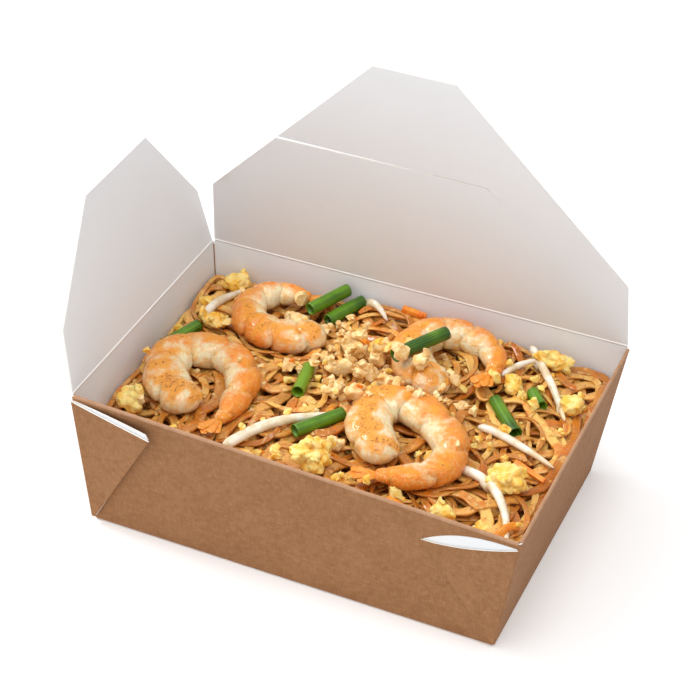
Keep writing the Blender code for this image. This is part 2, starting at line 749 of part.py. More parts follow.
def build_heap(core, obstacles):
    """Joins the strands, sprouts, carrot strips and crumbs to the core as one solid."""
    pieces = collection("heap pieces")
    for route in SPROUTS:
        lay_strip(route, SPROUT_RADIUS, SPROUT_RADIUS, 6, pieces, obstacles)
    for route in CARROTS:
        lay_strip(route, CARROT_HALF, CARROT_HALF, 4, pieces, obstacles)
    lay_noodles(pieces, obstacles)
    scatter_crumbs(pieces, obstacles)
    join_all(core, pieces, "MANIFOLD")
    keep_outer_skin(core.data)


def main():
    for old in list(bpy.data.objects):
        bpy.data.objects.remove(old)
    home = collection("noodle_takeaway_box")
    kraft = material("kraft_board", (0.36, 0.20, 0.11), 0.8)
    white = material("white_board", (0.82, 0.80, 0.78), 0.6)
    finishes = {
        "prawn": material("prawn_flesh", (0.85, 0.42, 0.18), 0.35),
        "egg": material("fried_egg", (0.88, 0.55, 0.16), 0.5),
        "scallion": material("scallion_green", (0.05, 0.25, 0.03), 0.3),
        "peanut": material("roasted_peanut", (0.75, 0.47, 0.22), 0.6),
    }
    noodles = material("rice_noodle", (0.62, 0.36, 0.17), 0.4)
    build_carton(home, kraft)
    build_flap("back_flap", (-1, 1), (1, 1), BACK_FLAP, CREASE_RISE + BACK_STEP, home, white, slit=True)
    build_flap("left_flap", (-1, -1), (-1, 1), LEFT_FLAP, CREASE_RISE, home, white)
    core = add("noodle_heap", build_core(), home, noodles)
    bpy.context.view_layer.update()
    _, obstacles = build_toppings(core, home, finishes)
    build_heap(core, obstacles)


main()
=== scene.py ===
# %% [markdown]
# A noodle takeaway box, dressed
#
# This lesson takes the plain solids of a fold-top kraft carton full of stir-fried noodles and gives
# them their looks. The solids are a fixed frame: nothing here moves or resizes them. Each step covers
# one piece or one finish, says what it is on the real thing, and builds it in Blender.

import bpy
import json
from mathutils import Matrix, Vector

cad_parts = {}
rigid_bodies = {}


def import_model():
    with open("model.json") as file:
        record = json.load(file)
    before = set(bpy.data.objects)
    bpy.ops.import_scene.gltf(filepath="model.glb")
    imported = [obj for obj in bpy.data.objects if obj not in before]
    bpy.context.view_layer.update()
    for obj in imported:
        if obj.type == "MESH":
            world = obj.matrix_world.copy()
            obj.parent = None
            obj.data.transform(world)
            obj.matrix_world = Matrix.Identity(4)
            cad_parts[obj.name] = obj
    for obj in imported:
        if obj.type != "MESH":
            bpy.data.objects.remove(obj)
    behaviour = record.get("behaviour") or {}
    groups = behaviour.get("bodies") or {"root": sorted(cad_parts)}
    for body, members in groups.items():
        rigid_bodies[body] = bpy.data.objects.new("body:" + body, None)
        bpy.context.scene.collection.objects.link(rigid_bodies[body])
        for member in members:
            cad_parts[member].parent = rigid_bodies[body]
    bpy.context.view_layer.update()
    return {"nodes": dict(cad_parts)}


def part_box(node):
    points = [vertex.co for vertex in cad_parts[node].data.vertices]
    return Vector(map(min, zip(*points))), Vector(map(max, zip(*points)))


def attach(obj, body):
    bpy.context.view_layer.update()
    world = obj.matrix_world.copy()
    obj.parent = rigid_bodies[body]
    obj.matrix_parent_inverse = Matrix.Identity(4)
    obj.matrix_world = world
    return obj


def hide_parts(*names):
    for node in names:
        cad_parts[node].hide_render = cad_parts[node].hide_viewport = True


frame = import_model()

# %% Tools from Blender and Python
import json
import math
import random

import bmesh
import bpy
import numpy as np
from mathutils import Matrix, Vector, geometry, noise
from mathutils.bvhtree import BVHTree

MM = 0.001
CAST_HEIGHT = 150 * MM  # rays that go down start here, above the food
UP = Vector((0, 0, 1))
DOWN = Vector((0, 0, -1))

# %% [markdown]
# Node trees as expressions
#
# Materials and Geometry Nodes are both trees of nodes. Wiring them by hand is slow to read, so one
# class wraps a socket and turns arithmetic into Math nodes. Every other node comes from one method,
# which sets the node's own settings first and its sockets after them.

# %% Sockets and trees
class Socket:
    """A node's output that adds Math nodes when it is used in an expression."""

    def __init__(self, tree, link):
        self.tree, self.link = tree, link

    def math(self, operation, *values):
        return self.tree.node("ShaderNodeMath", {"operation": operation}, dict(enumerate(values)))

    def __add__(self, other):
        return self.math("ADD", self, other)

    def __sub__(self, other):
        return self.math("SUBTRACT", self, other)

    def __rsub__(self, other):
        return self.math("SUBTRACT", other, self)

    def __mul__(self, other):
        return self.math("MULTIPLY", self, other)

    def at_least(self, other):
        return self.math("MAXIMUM", self, other)

    __radd__ = __add__
    __rmul__ = __mul__

# %% A tree that nodes are added to
class Tree:
    """A node tree that nodes are added to."""

    def __init__(self, nodes):
        self.nodes = nodes

    def node(self, kind, settings=None, inputs=None, output=0):
        """Adds a node, sets its settings and then its sockets, and returns one of its outputs."""
        made = self.nodes.nodes.new(kind)
        for name, value in (settings or {}).items():
            if name == "stops":
                ramp = made.color_ramp.elements
                while len(ramp) < len(value):
                    ramp.new(1)
                for stop, (place, shade) in zip(ramp, value):
                    stop.position = place
                    stop.color = shade
            else:
                setattr(made, name, value)
        for key, value in (inputs or {}).items():
            if isinstance(value, Socket):
                self.nodes.links.new(value.link, made.inputs[key])
            else:
                made.inputs[key].default_value = value
        return None if output is None else Socket(self, made.outputs[output])

    def place(self):
        """Where a point is on the object, in metres."""
        return self.node("ShaderNodeTexCoord", output="Object")

    def stretched(self, scale):
        """The same place, with each axis scaled."""
        return self.node("ShaderNodeMapping", None, {"Vector": self.place(), "Scale": scale})

    def grain(self, scale, detail=2, roughness=0.5, where=None, distortion=0):
        """Soft noise from 0 to 1, with this many waves a metre."""
        inputs = {"Vector": where or self.place(), "Scale": scale, "Detail": detail}
        inputs.update({"Roughness": roughness, "Distortion": distortion})
        return self.node("ShaderNodeTexNoise", None, inputs)

    def ramp(self, value, low, high):
        """0 where the value is under low, 1 over high, and smooth between."""
        inputs = {"Value": value, "From Min": low, "From Max": high}
        return self.node("ShaderNodeMapRange", {"interpolation_type": "SMOOTHSTEP"}, inputs)

    def mix(self, share, first, second):
        """One colour turning into another as the share goes from 0 to 1."""
        colours = [c if isinstance(c, Socket) else (*c, 1) for c in (first, second)]
        inputs = {0: share, 6: colours[0], 7: colours[1]}
        return self.node("ShaderNodeMix", {"data_type": "RGBA"}, inputs, 2)

    def attribute(self, name):
        """A value stored on the mesh's points."""
        return self.node("ShaderNodeAttribute", {"attribute_name": name}, output="Fac")

    def stored(self, name, kind="FLOAT"):
        """The same in Geometry Nodes, where the kind of value is asked for too."""
        return self.node("GeometryNodeInputNamedAttribute", {"data_type": kind}, {"Name": name})

    def bump(self, height, distance, strength=1.0):
        inputs = {"Height": height, "Distance": distance, "Strength": strength}
        return self.node("ShaderNodeBump", None, inputs)

# %% Starting and ending a finish or a node group
def finish(name):
    """A new material and its empty tree."""
    made = bpy.data.materials.new(name)
    made.use_nodes = True
    made.node_tree.nodes.clear()
    return made, Tree(made.node_tree)


def node_group(name, inputs, result):
    """A Geometry Nodes tree with named inputs. Returns the group, its tree and its input sockets."""
    group = bpy.data.node_groups.new(name, "GeometryNodeTree")
    for label, kind in inputs.items():
        group.interface.new_socket(label, in_out="INPUT", socket_type="NodeSocket" + kind)
    group.interface.new_socket(result, in_out="OUTPUT", socket_type="NodeSocketGeometry")
    tree = Tree(group)
    given = group.nodes.new("NodeGroupInput")
    return group, tree, [Socket(tree, given.outputs[label]) for label in inputs]


def close_finish(tree, **sockets):
    """Ends a material in a Principled surface. Names use _ for a space, and constants stay constants."""
    inputs = {name.replace("_", " "): value for name, value in sockets.items()}
    surface = tree.node("ShaderNodeBsdfPrincipled", None, inputs, "BSDF")
    tree.node("ShaderNodeOutputMaterial", None, {"Surface": surface}, None)


# %% [markdown]
# The camera
#
# The photo was taken from a long way off with a long lens, from the front, a little to the right and
# from well above. A camera at the same place comes first.

# %% Camera
CAMERA_TURN = math.radians(20.11)
CAMERA_RISE = math.radians(36.46)
CAMERA_ROLL = math.radians(4.11)
CAMERA_PLACE = Vector((324.93, -898.34, 790.93)) * MM
CAMERA_LENS = 133.7
SENSOR_WIDTH = 36


def set_camera():
    """Places the camera: back points from the object to the camera."""
    back = Vector((math.sin(CAMERA_TURN) * math.cos(CAMERA_RISE),
                   -math.cos(CAMERA_TURN) * math.cos(CAMERA_RISE), math.sin(CAMERA_RISE)))
    level = Vector((math.cos(CAMERA_TURN), math.sin(CAMERA_TURN), 0))
    upward = back.cross(level)
    right = level * math.cos(CAMERA_ROLL) + upward * math.sin(CAMERA_ROLL)
    top = back.cross(right)
    data = bpy.data.cameras.new("camera")
    data.lens = CAMERA_LENS
    data.sensor_width = SENSOR_WIDTH
    data.clip_end = 20
    camera = bpy.data.objects.new("camera", data)
    camera.matrix_world = Matrix.Translation(CAMERA_PLACE) @ Matrix((right, top, back)).transposed().to_4x4()
    bpy.context.scene.collection.objects.link(camera)
    bpy.context.scene.camera = camera


set_camera()
print("camera lens, mm:", CAMERA_LENS)

# %% [markdown]
# The floor and the light
#
# The light is soft, as in a tent: a bright sky on the left and front, a broad lamp high on the left that
# draws the shadows and a weaker one above the food that wakes its gloss. The floor is white and a
# little blown out, so it also glows by itself.

# %% Floor and lights
FLOOR_SIZE = 12
FLOOR_SHADE = (0.94, 0.94, 0.94)
FLOOR_GLOW = 0.16
SKY_LEVEL = 0.65
SKY_LEAN = 0.50  # how much brighter the sky is towards its bright side
SKY_BRIGHT_SIDE = Vector((-0.30, -0.40, 0.87))
# Each lamp: place, width and power
LAMPS = {
    "key": (Vector((-0.92, 0.02, 0.98)), 0.46, 8.0),
    "fill": (Vector((0.12, -0.28, 1.02)), 0.55, 3.4),
}
TARGET = Vector((0, 0, 0.05))

# %% Sky, lamps and floor
def set_light():
    sky = bpy.data.worlds.new("sky")
    sky.use_nodes = True
    sky.node_tree.nodes.clear()
    tree = Tree(sky.node_tree)
    direction = tree.node("ShaderNodeTexCoord", output="Generated")
    facing = tree.node(
        "ShaderNodeVectorMath", {"operation": "DOT_PRODUCT"}, {0: direction, 1: SKY_BRIGHT_SIDE}, "Value"
    )
    strength = SKY_LEVEL + SKY_LEAN * facing
    dome = tree.node("ShaderNodeBackground", None, {"Strength": strength.at_least(0.1)}, "Background")
    tree.node("ShaderNodeOutputWorld", None, {"Surface": dome}, None)
    bpy.context.scene.world = sky
    for name, (place, width, power) in LAMPS.items():
        data = bpy.data.lights.new(name, "AREA")
        data.shape = "DISK"
        data.size = width
        data.energy = power
        lamp = bpy.data.objects.new(name, data)
        lamp.location = place
        lamp.rotation_euler = (place - TARGET).to_track_quat("Z", "Y").to_euler()
        bpy.context.scene.collection.objects.link(lamp)
    bpy.context.scene.view_settings.view_transform = "Standard"


def add_floor():
    mesh = bpy.data.meshes.new("floor")
    shape = bmesh.new()
    bmesh.ops.create_grid(shape, x_segments=1, y_segments=1, size=FLOOR_SIZE / 2)
    shape.to_mesh(mesh)
    shape.free()
    material, tree = finish("floor_white")
    close_finish(tree, Base_Color=(*FLOOR_SHADE, 1), Roughness=0.9, Emission_Color=(1, 1, 1, 1),
                 Emission_Strength=FLOOR_GLOW)
    mesh.materials.append(material)
    floor = bpy.data.objects.new("floor", mesh)
    bpy.context.scene.collection.objects.link(floor)


set_light()
add_floor()

# %% [markdown]
# Measures of the carton
#
# The carton is one sheet of board, folded up. Its sizes repeat those of the solid model, in
# millimetres, so that the dressed piece fills the same space. The rim is a little warped, as a full
# paper box is.

# %% Carton sizes
RIM_LENGTH = 216 * MM
RIM_WIDTH = 150 * MM
BASE_LENGTH = 199 * MM
BASE_WIDTH = 138.5 * MM
HEIGHT = 70 * MM
RIM_TWIST = 3 * MM
BOARD = 0.7 * MM
CORNER_RADIUS = 1.5 * MM
HEM_DEPTH = 6 * MM

# %% Corners and wall directions
def outer_corner(side_x, side_y, height):
    """A point on the carton's outer corner edge, at a height. Both sides are -1 or 1."""
    share = height / HEIGHT
    x = BASE_LENGTH / 2 + (RIM_LENGTH - BASE_LENGTH) / 2 * share
    y = BASE_WIDTH / 2 + (RIM_WIDTH - BASE_WIDTH) / 2 * share
    return Vector((side_x * x, side_y * y, height))


def rim_corner(side_x, side_y):
    return outer_corner(side_x, side_y, HEIGHT + RIM_TWIST * side_x * side_y)


def wall_axes(start, end):
    """A wall's rim corner, and its directions: along the rim, down the wall and outwards."""
    top = rim_corner(*start)
    along = (rim_corner(*end) - top).normalized()
    foot = outer_corner(*start, 0) - top
    down = (foot - along * foot.dot(along)).normalized()
    outward = along.cross(down)
    if outward.dot(Vector((start[0] + end[0], start[1] + end[1], 0))) < 0:
        outward = -outward
    return top, along, down, outward


def axes(origin, x, y, z):
    """The matrix that carries local axes onto x, y, z at origin."""
    return Matrix.Translation(origin) @ Matrix((x, y, z)).transposed().to_4x4()

# %% Helpers for pieces and meshes
def add_piece(name, mesh, *materials):
    """Links a mesh as an object at the origin, with its finishes."""
    piece = bpy.data.objects.new(name, mesh)
    bpy.context.scene.collection.objects.link(piece)
    for material in materials:
        mesh.materials.append(material)
    return piece


def settle_piece(piece, body, slot, *nodes):
    """Says which body a piece moves with and hides the solids that it stands for. The slot is not used."""
    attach(piece, body)
    if nodes:
        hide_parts(*nodes)
    print(f"{piece.name}: {len(piece.data.polygons)} faces, moves with {body}")


def mesh_from(name, points, faces, marks=None):
    """A mesh from points and faces; marks gives each face its material."""
    mesh = bpy.data.meshes.new(name)
    mesh.from_pydata([tuple(point) for point in points], [], faces)
    if marks:
        mesh.polygons.foreach_set("material_index", marks)
    return mesh


def faced_out(mesh):
    """Turns every face of a closed mesh outwards."""
    shape = bmesh.new()
    shape.from_mesh(mesh)
    bmesh.ops.recalc_face_normals(shape, faces=shape.faces)
    shape.to_mesh(mesh)
    shape.free()
    return mesh


def store(mesh, **columns):
    """Stores values on a mesh's points, for finishes and node trees to read."""
    for attribute, values in columns.items():
        data = mesh.attributes.new(attribute, "FLOAT", "POINT").data
        data.foreach_set("value", np.asarray(values, np.float32))


def round_off(mesh, angle=40):
    """Shades a mesh smooth, apart from edges sharper than the angle."""
    mesh.shade_smooth()
    mesh.set_sharp_from_angle(angle=math.radians(angle))


# %% [markdown]
# Kraft board, inside and out
#
# The outside of the board is unbleached kraft paper: brown, matt, with short fibres pressed flat in it
# and faint clouds where the pulp was thicker. The inside has a smooth white coating; low down, below
# the food's level, it is painted warm, as painted light bounced from the food. Where the board is cut,
# a thin pale core shows. Each finish is noise at the size of the fibres, stretched so that the fibres
# have a direction, and a bump so slight that it only breaks up the shine. A fold is paler kraft: partly
# worn fibres, and partly a painted highlight where the round fold catches the light. A crease is the
# coating painted brighter still: a painted highlight along its roll.

# %% Board finishes
KRAFT_DARK = (0.262, 0.114, 0.043)
KRAFT_LIGHT = (0.375, 0.182, 0.078)
KRAFT_FIBRE = (0.47, 0.26, 0.13)
# Paler kraft for folds: partly worn fibres, partly a painted highlight on the round fold
FOLD_WEAR_HIGHLIGHT_DARK = (0.40, 0.215, 0.115)
FOLD_WEAR_HIGHLIGHT_LIGHT = (0.52, 0.30, 0.18)


def kraft_finish(name, dark, light):
    material, tree = finish(name)
    clouds = tree.grain(55, detail=3)
    long_fibres = tree.grain(1, detail=2, where=tree.stretched((260, 900, 1500)))
    cross_fibres = tree.grain(1, detail=2, where=tree.stretched((1400, 700, 300)))
    fine = tree.grain(2600, detail=1)
    pulp = tree.grain(340, detail=3, roughness=0.6)
    tone = 0.16 * clouds + 0.26 * pulp + 0.24 * long_fibres + 0.20 * cross_fibres + 0.14 * fine
    colour = tree.mix(tree.ramp(tone, 0.34, 0.66), dark, light)
    flecks = tree.ramp(long_fibres * cross_fibres, 0.34, 0.46)
    colour = tree.mix(flecks * 0.35, colour, KRAFT_FIBRE)
    relief = tree.bump(long_fibres + cross_fibres + 0.5 * fine, 0.05 * MM, 0.5)
    close_finish(tree, Base_Color=colour, Roughness=0.78 + 0.1 * fine, Normal=relief,
                 Specular_IOR_Level=0.3)
    return material


def white_finish(name, painted_highlight):
    material, tree = finish(name)
    clouds = tree.grain(40, detail=2)
    fine = tree.grain(1500, detail=1)
    colour = tree.mix(0.6 * clouds + 0.4 * fine, (0.79, 0.81, 0.84), (0.84, 0.86, 0.89))
    # Below the food's level the coating turns warm: painted light bounced from the food.
    height = tree.node("ShaderNodeSeparateXYZ", None, {0: tree.place()}, "Z")
    clear_of_painted_bounce = tree.ramp(height * 10 + 0.25 * (clouds - 0.5), 0.42, 0.66)
    colour = tree.mix(0.5 * (1 - clear_of_painted_bounce), colour, (0.93, 0.83, 0.70))
    # The crease finish is mixed towards pure white: a painted highlight along its roll.
    colour = tree.mix(painted_highlight, colour, (1.0, 1.0, 1.0))
    close_finish(tree, Base_Color=colour, Roughness=0.46 + 0.1 * clouds,
                 Normal=tree.bump(fine, 0.02 * MM, 0.4), Specular_IOR_Level=0.4)
    return material


def edge_finish():
    material, tree = finish("cut_edge")
    layers = tree.grain(1800, detail=2)
    colour = tree.mix(layers, (0.78, 0.73, 0.67), (0.88, 0.86, 0.83))
    close_finish(tree, Base_Color=colour, Roughness=0.8)
    return material


KRAFT = kraft_finish("kraft_paper", KRAFT_DARK, KRAFT_LIGHT)
KRAFT_FOLD_WEAR_AND_HIGHLIGHT = kraft_finish("kraft_fold_wear_and_painted_highlight", FOLD_WEAR_HIGHLIGHT_DARK, FOLD_WEAR_HIGHLIGHT_LIGHT)
WHITE = white_finish("white_coating", 0)
# The crease finish is the coating with a painted highlight.
PAINTED_CREASE_HIGHLIGHT = white_finish("crease_painted_highlight", 0.85)
CUT_EDGE = edge_finish()
print("board finishes:", KRAFT.name, KRAFT_FOLD_WEAR_AND_HIGHLIGHT.name, WHITE.name, PAINTED_CREASE_HIGHLIGHT.name, CUT_EDGE.name)

# %% [markdown]
# The walls and base
#
# The walls lean outwards, so the tray is an open box that widens towards its rim. An open surface with
# rounded folds (Bevel) and the board's thickness (Solidify) is the shape that a folded sheet takes,
# and Solidify can give the inner side and the rim their own finish.

# %% Walls
def walls_mesh():
    shape = bmesh.new()
    bmesh.ops.create_cube(shape, size=2)
    for point in shape.verts:
        side_x, side_y = math.copysign(1, point.co.x), math.copysign(1, point.co.y)
        point.co = rim_corner(side_x, side_y) if point.co.z > 0 else outer_corner(side_x, side_y, 0)
    lid = [face for face in shape.faces if all(point.co.z > 0 for point in face.verts)]
    bmesh.ops.delete(shape, geom=lid, context="FACES_ONLY")
    mesh = bpy.data.meshes.new("walls")
    shape.to_mesh(mesh)
    shape.free()
    return mesh


walls = add_piece("tray_walls", walls_mesh(), KRAFT, WHITE, CUT_EDGE)
folds = walls.modifiers.new("rounded folds", "BEVEL")
folds.width = CORNER_RADIUS
folds.segments = 4
board = walls.modifiers.new("board", "SOLIDIFY")
board.thickness = BOARD
board.offset = -1
board.use_even_offset = True
board.material_offset = 1
board.material_offset_rim = 2
settle_piece(walls, "box", "kraft_board", "carton")

# %% [markdown]
# Pieces cut from flat board
#
# The flaps and the corner webs are flat shapes with a thin cut edge all round. A triangulated outline
# with a grid of points inside can be bent a little afterwards, which a single flat face can't. The
# front, the back and the cut edge get their own finishes.

# %% Board from an outline
def board_mesh(name, outline, thickness, spacing, bend=None):
    """A board from its outline in metres, +Z up. Face marks: 0 upper side, 1 lower side, 2 cut edge."""
    flat = [Vector((x / MM, y / MM)) for x, y in outline]
    count = len(flat)
    low = [min(point[axis] for point in flat) for axis in (0, 1)]
    high = [max(point[axis] for point in flat) for axis in (0, 1)]
    step = spacing / MM
    across = np.arange(low[0] + step / 2, high[0], step)
    upward = np.arange(low[1] + step / 2, high[1], step)
    inner = [Vector((x, y)) for x in across for y in upward]
    edges = [(index, (index + 1) % count) for index in range(count)]
    points, _, triangles, *_ = geometry.delaunay_2d_cdt(flat + inner, edges, [], 1, 1e-4)
    used = sorted({index for triangle in triangles for index in triangle})
    place = {index: number for number, index in enumerate(used)}
    points = [points[index] * MM for index in used]
    triangles = [tuple(place[index] for index in triangle) for triangle in triangles]
    first = [points[index] for index in triangles[0]]
    if (first[1] - first[0]).cross(first[2] - first[0]) < 0:
        triangles = [triangle[::-1] for triangle in triangles]
    lift = [bend(point.x, point.y) if bend else 0 for point in points]
    upper = [Vector((p.x, p.y, z + thickness / 2)) for p, z in zip(points, lift)]
    lower = [Vector((p.x, p.y, z - thickness / 2)) for p, z in zip(points, lift)]
    total = len(points)
    sides = {(a, b) for tri in triangles for a, b in zip(tri, tri[1:] + tri[:1])}
    rim = [(a, b) for a, b in sorted(sides) if (b, a) not in sides]
    faces = list(triangles)
    faces += [tuple(index + total for index in reversed(tri)) for tri in triangles]
    faces += [(a + total, b + total, b, a) for a, b in rim]
    marks = [0] * len(triangles) + [1] * len(triangles) + [2] * len(rim)
    mesh = mesh_from(name, upper + lower, faces, marks)
    round_off(mesh)
    return mesh


def put(mesh, matrix):
    """Moves a mesh to its place; a mirrored one is turned right side out."""
    mesh.transform(matrix)
    if matrix.determinant() < 0:
        mesh.flip_normals()
    return mesh


# %% [markdown]
# The corner webs
#
# At each corner the spare board is folded into two layers that lie on the outside of the long wall.
# The outer layer's top edge dips below the inner one's, so a white crescent shows between them: the
# inner layer shows its coated side. At the front left the web stands off the wall a little.

# %% Webs
WEB_MARGINS = (1.3 * MM, 0.6 * MM)
WEB_INNER_FACES = (-0.3 * MM, 0.35 * MM)  # outwards of the wall
WEB_OUTER_FACES = (0.5 * MM, 1.15 * MM)
WEB_FOOT = 3 * MM
WEB_EDGE_STEPS = 32
# A lifted web's edges run apart to a blunt tip; a pressed one's are a lens. Drops are from the rim.
LIFTED_WEB = dict(
    reach=41 * MM, start=2.2 * MM, inner=lambda s: 3.0 * MM * s**1.6, outer=lambda s: 5.4 * MM * s**0.9,
    lift=math.radians(5),
)
PRESSED_WEB = dict(
    reach=44 * MM, start=3.0 * MM, inner=lambda s: 12.0 * MM * s**2.8,
    outer=lambda s: 12.0 * MM * (1 - (1 - s) ** 1.75), lift=0,
)
BLUNT_FROM = 0.965


def blunt(share):
    """Rounds an edge down at the tip: 0 along the edge and 1 at its end."""
    if share <= BLUNT_FROM:
        return 0
    across = (share - BLUNT_FROM) / (1 - BLUNT_FROM)
    return 1 - math.sqrt(max(0, 1 - across * across))


def web_outline(web, layer, foot, margin):
    """A web's outline: its curved top edge from the corner to the tip, then down its diagonal fold."""
    end_drop = web["outer"](1) - web[layer](1)
    edge = []
    for step in range(WEB_EDGE_STEPS + 1):
        share = (step / WEB_EDGE_STEPS) ** 0.8
        drop = web["start"] + web[layer](share) + blunt(share) * end_drop
        edge.append((margin + (web["reach"] - 2 * margin) * share, drop))
    return edge + [(margin + CORNER_RADIUS, foot - margin), (margin, foot - margin)]

# %% Set the webs on the walls
def add_web(name, start, end, web):
    origin, along, down, outward = wall_axes(start, end)
    edge_slope = outer_corner(*start, 0) - origin
    shear = edge_slope.dot(along) / edge_slope.dot(down)
    foot = edge_slope.dot(down) - WEB_FOOT
    turned = Matrix.Rotation(web["lift"] if along.cross(down).dot(outward) < 0 else -web["lift"], 3, down)
    along, outward = turned @ along, turned @ outward
    layers = (
        ("inner", WEB_MARGINS[0], WEB_INNER_FACES, (WHITE, KRAFT)),
        ("outer", WEB_MARGINS[1], WEB_OUTER_FACES, (KRAFT, WHITE)),
    )
    # A pressed web's fold edge takes the paler fold kraft: partly wear, partly a painted highlight
    fold = KRAFT if web["lift"] else KRAFT_FOLD_WEAR_AND_HIGHLIGHT
    for layer, margin, faces, sides in layers:
        outline = [(u + shear * v, v) for u, v in web_outline(web, layer, foot, margin)]
        mesh = board_mesh(f"{name}_{layer}", outline, faces[1] - faces[0], 6 * MM)
        for face in mesh.polygons:
            if face.material_index == 2 and face.normal.y > -0.35:
                face.material_index = 0 if face.normal.x < -0.5 else 3
        place = axes(origin + outward * sum(faces) / 2, along, down, outward)
        put(mesh, place)
        piece = add_piece(f"{name}_{layer}", mesh, *sides, CUT_EDGE, fold)
        settle_piece(piece, "box", "kraft_board", "carton")


add_web("web_front_left", (-1, -1), (1, -1), LIFTED_WEB)
add_web("web_front_right", (1, -1), (-1, -1), PRESSED_WEB)
add_web("web_back_left", (-1, 1), (1, 1), PRESSED_WEB)
add_web("web_back_right", (1, 1), (-1, 1), LIFTED_WEB)

# %% [markdown]
# Folded rims and creases
#
# At the front and right the board is folded over into the box: the rim is a round fold whose fibres are
# stretched and paler, and its paler colour is partly a painted highlight on the fold. At the back and left
# the board goes on into a flap through a crease. Both are profiles swept along the rim, so one function
# makes them all.

# %% Rims
HEM_FOLD = 0.72 * MM
HEM_INNER = 1.45 * MM
ARC_STEPS = 8
CREASE_RADIUS = 0.64 * MM
BACK_STEP = 0.8 * MM
CREASE_RISE = 0.7 * MM
CREASE_TRIM = 1.3 * MM
HEM_SWELL = 0.2 * MM
HEM_RISE = 0.55 * MM
HEM_LEG = 0.9 * MM


def swept_profile(name, start, end, profile, trim, marks=None):
    """Sweeps a closed profile of (outwards, down) points along a rim, with capped ends."""
    origin, along, down, outward = wall_axes(start, end)
    length = (rim_corner(*end) - origin).length
    count = len(profile)
    points = []
    for place in (trim, length - trim):
        points += [origin + along * place + outward * out + down * drop for out, drop in profile]
    faces = [(i, (i + 1) % count, count + (i + 1) % count, count + i) for i in range(count)]
    faces += [tuple(range(count)), tuple(range(2 * count - 1, count - 1, -1))]
    mesh = faced_out(mesh_from(name, points, faces, (marks or [0] * count) + [0, 0]))
    round_off(mesh)
    return mesh

# %% [markdown]
# A hem and a crease, seen end on
#
# A hem is the board turned over once, so its end is a round arc with a leg on each side. A crease is only
# pressed, and the board swells there into a small roll. Each is a short list of points, which can be set
# right by eye against the photo more easily than a modifier can.

# %% Profiles of the hems and creases
def hem_profile():
    """A folded rim: up from the wall's outer face, over in an arc and down inside."""
    middle = (HEM_SWELL - HEM_INNER) / 2
    radius = (HEM_SWELL + HEM_INNER) / 2
    arc = []
    for step in range(ARC_STEPS + 1):
        angle = math.pi * step / ARC_STEPS
        arc.append((middle + radius * math.cos(angle), HEM_FOLD * (1 - math.sin(angle)) - HEM_RISE))
    return [(0.0, HEM_LEG)] + arc + [(-HEM_INNER, HEM_DEPTH), (-0.8 * MM, HEM_DEPTH)]


def roll_profile(rise):
    """A crease seen end on: a small round roll on the rim."""
    angles = [2 * math.pi * step / (2 * ARC_STEPS) for step in range(2 * ARC_STEPS)]
    middle = -BOARD / 2
    return [(middle + CREASE_RADIUS * math.cos(a), -rise + CREASE_RADIUS * math.sin(a)) for a in angles]


def add_rim(name, start, end, profile, trim, marks, slot, *materials):
    mesh = swept_profile(name, start, end, profile, trim, marks)
    settle_piece(add_piece(name, mesh, *materials), "box", slot, "carton")


# Marks give each face of a profile its finish: the folded paper, the coated side, the cut edge
hem_marks = [0] * (ARC_STEPS + 2) + [1, 2]
# The hem's round fold takes the paler fold kraft, which is partly a painted highlight
hem = (hem_profile(), CORNER_RADIUS, hem_marks, "kraft_board", KRAFT_FOLD_WEAR_AND_HIGHLIGHT, WHITE, CUT_EDGE)
add_rim("hem_front", (-1, -1), (1, -1), *hem)
add_rim("hem_right", (1, -1), (1, 1), *hem)

# A crease is coated on its inner half, with a painted highlight there, and kraft on its outer half
roll_marks = [int(math.cos(math.pi * (step + 0.5) / ARC_STEPS) > 0) for step in range(2 * ARC_STEPS)]
roll = roll_profile(CREASE_RISE + BACK_STEP)
add_rim("crease_back", (-1, 1), (1, 1), roll, CREASE_TRIM, roll_marks, "white_board", PAINTED_CREASE_HIGHLIGHT, KRAFT)
roll = roll_profile(CREASE_RISE)
add_rim("crease_left", (-1, -1), (-1, 1), roll, CREASE_TRIM, roll_marks, "white_board", PAINTED_CREASE_HIGHLIGHT, KRAFT)

step_profile = [(0, -BACK_STEP), (0, BOARD), (-BOARD, BOARD), (-BOARD, -BACK_STEP)]
add_rim("step_back", (-1, 1), (1, 1), step_profile, CORNER_RADIUS, [0, 1, 1, 1], "kraft_board", KRAFT, WHITE)

# %% [markdown]
# Painted shade in the back corners
#
# Two walls meet in each back corner along a fold, and the narrow gap there between the coated walls lies
# in shade. A kraft strip with three sides, thinner than the board, paints that shade as a brown line; it
# is enough for a line this fine.

# %% Corner shade strips
SHADE_STRIP_FOOT = 12 * MM
SHADE_STRIP_TOP_GAP = 1 * MM
SHADE_STRIP_RADIUS = 0.35 * MM
SHADE_STRIP_TURNS = (0, 2.1, 4.2)  # radians


def shade_strip_mesh(name, side_x, side_y):
    """A thin three-sided strip down an inside corner: painted shade where the walls meet."""
    inset = BOARD + (CORNER_RADIUS - BOARD) * (1 - math.sqrt(0.5))
    points = []
    for height in (SHADE_STRIP_FOOT, rim_corner(side_x, side_y).z - SHADE_STRIP_TOP_GAP):
        middle = outer_corner(side_x, side_y, height) - Vector((side_x, side_y, 0)) * inset
        for turn in SHADE_STRIP_TURNS:
            points.append(middle + SHADE_STRIP_RADIUS * Vector((math.cos(turn), math.sin(turn), 0)))
    return mesh_from(name, points, [(0, 1, 4, 3), (1, 2, 5, 4), (2, 0, 3, 5), (2, 1, 0), (3, 4, 5)])


# Each strip is kraft brown: painted shade in the corner gap.
for name, side_x in (("seam_back_left", -1), ("seam_back_right", 1)):
    shade_strip = add_piece(name, shade_strip_mesh(name, side_x, 1), KRAFT)
    settle_piece(shade_strip, "box", "kraft_board", "carton")

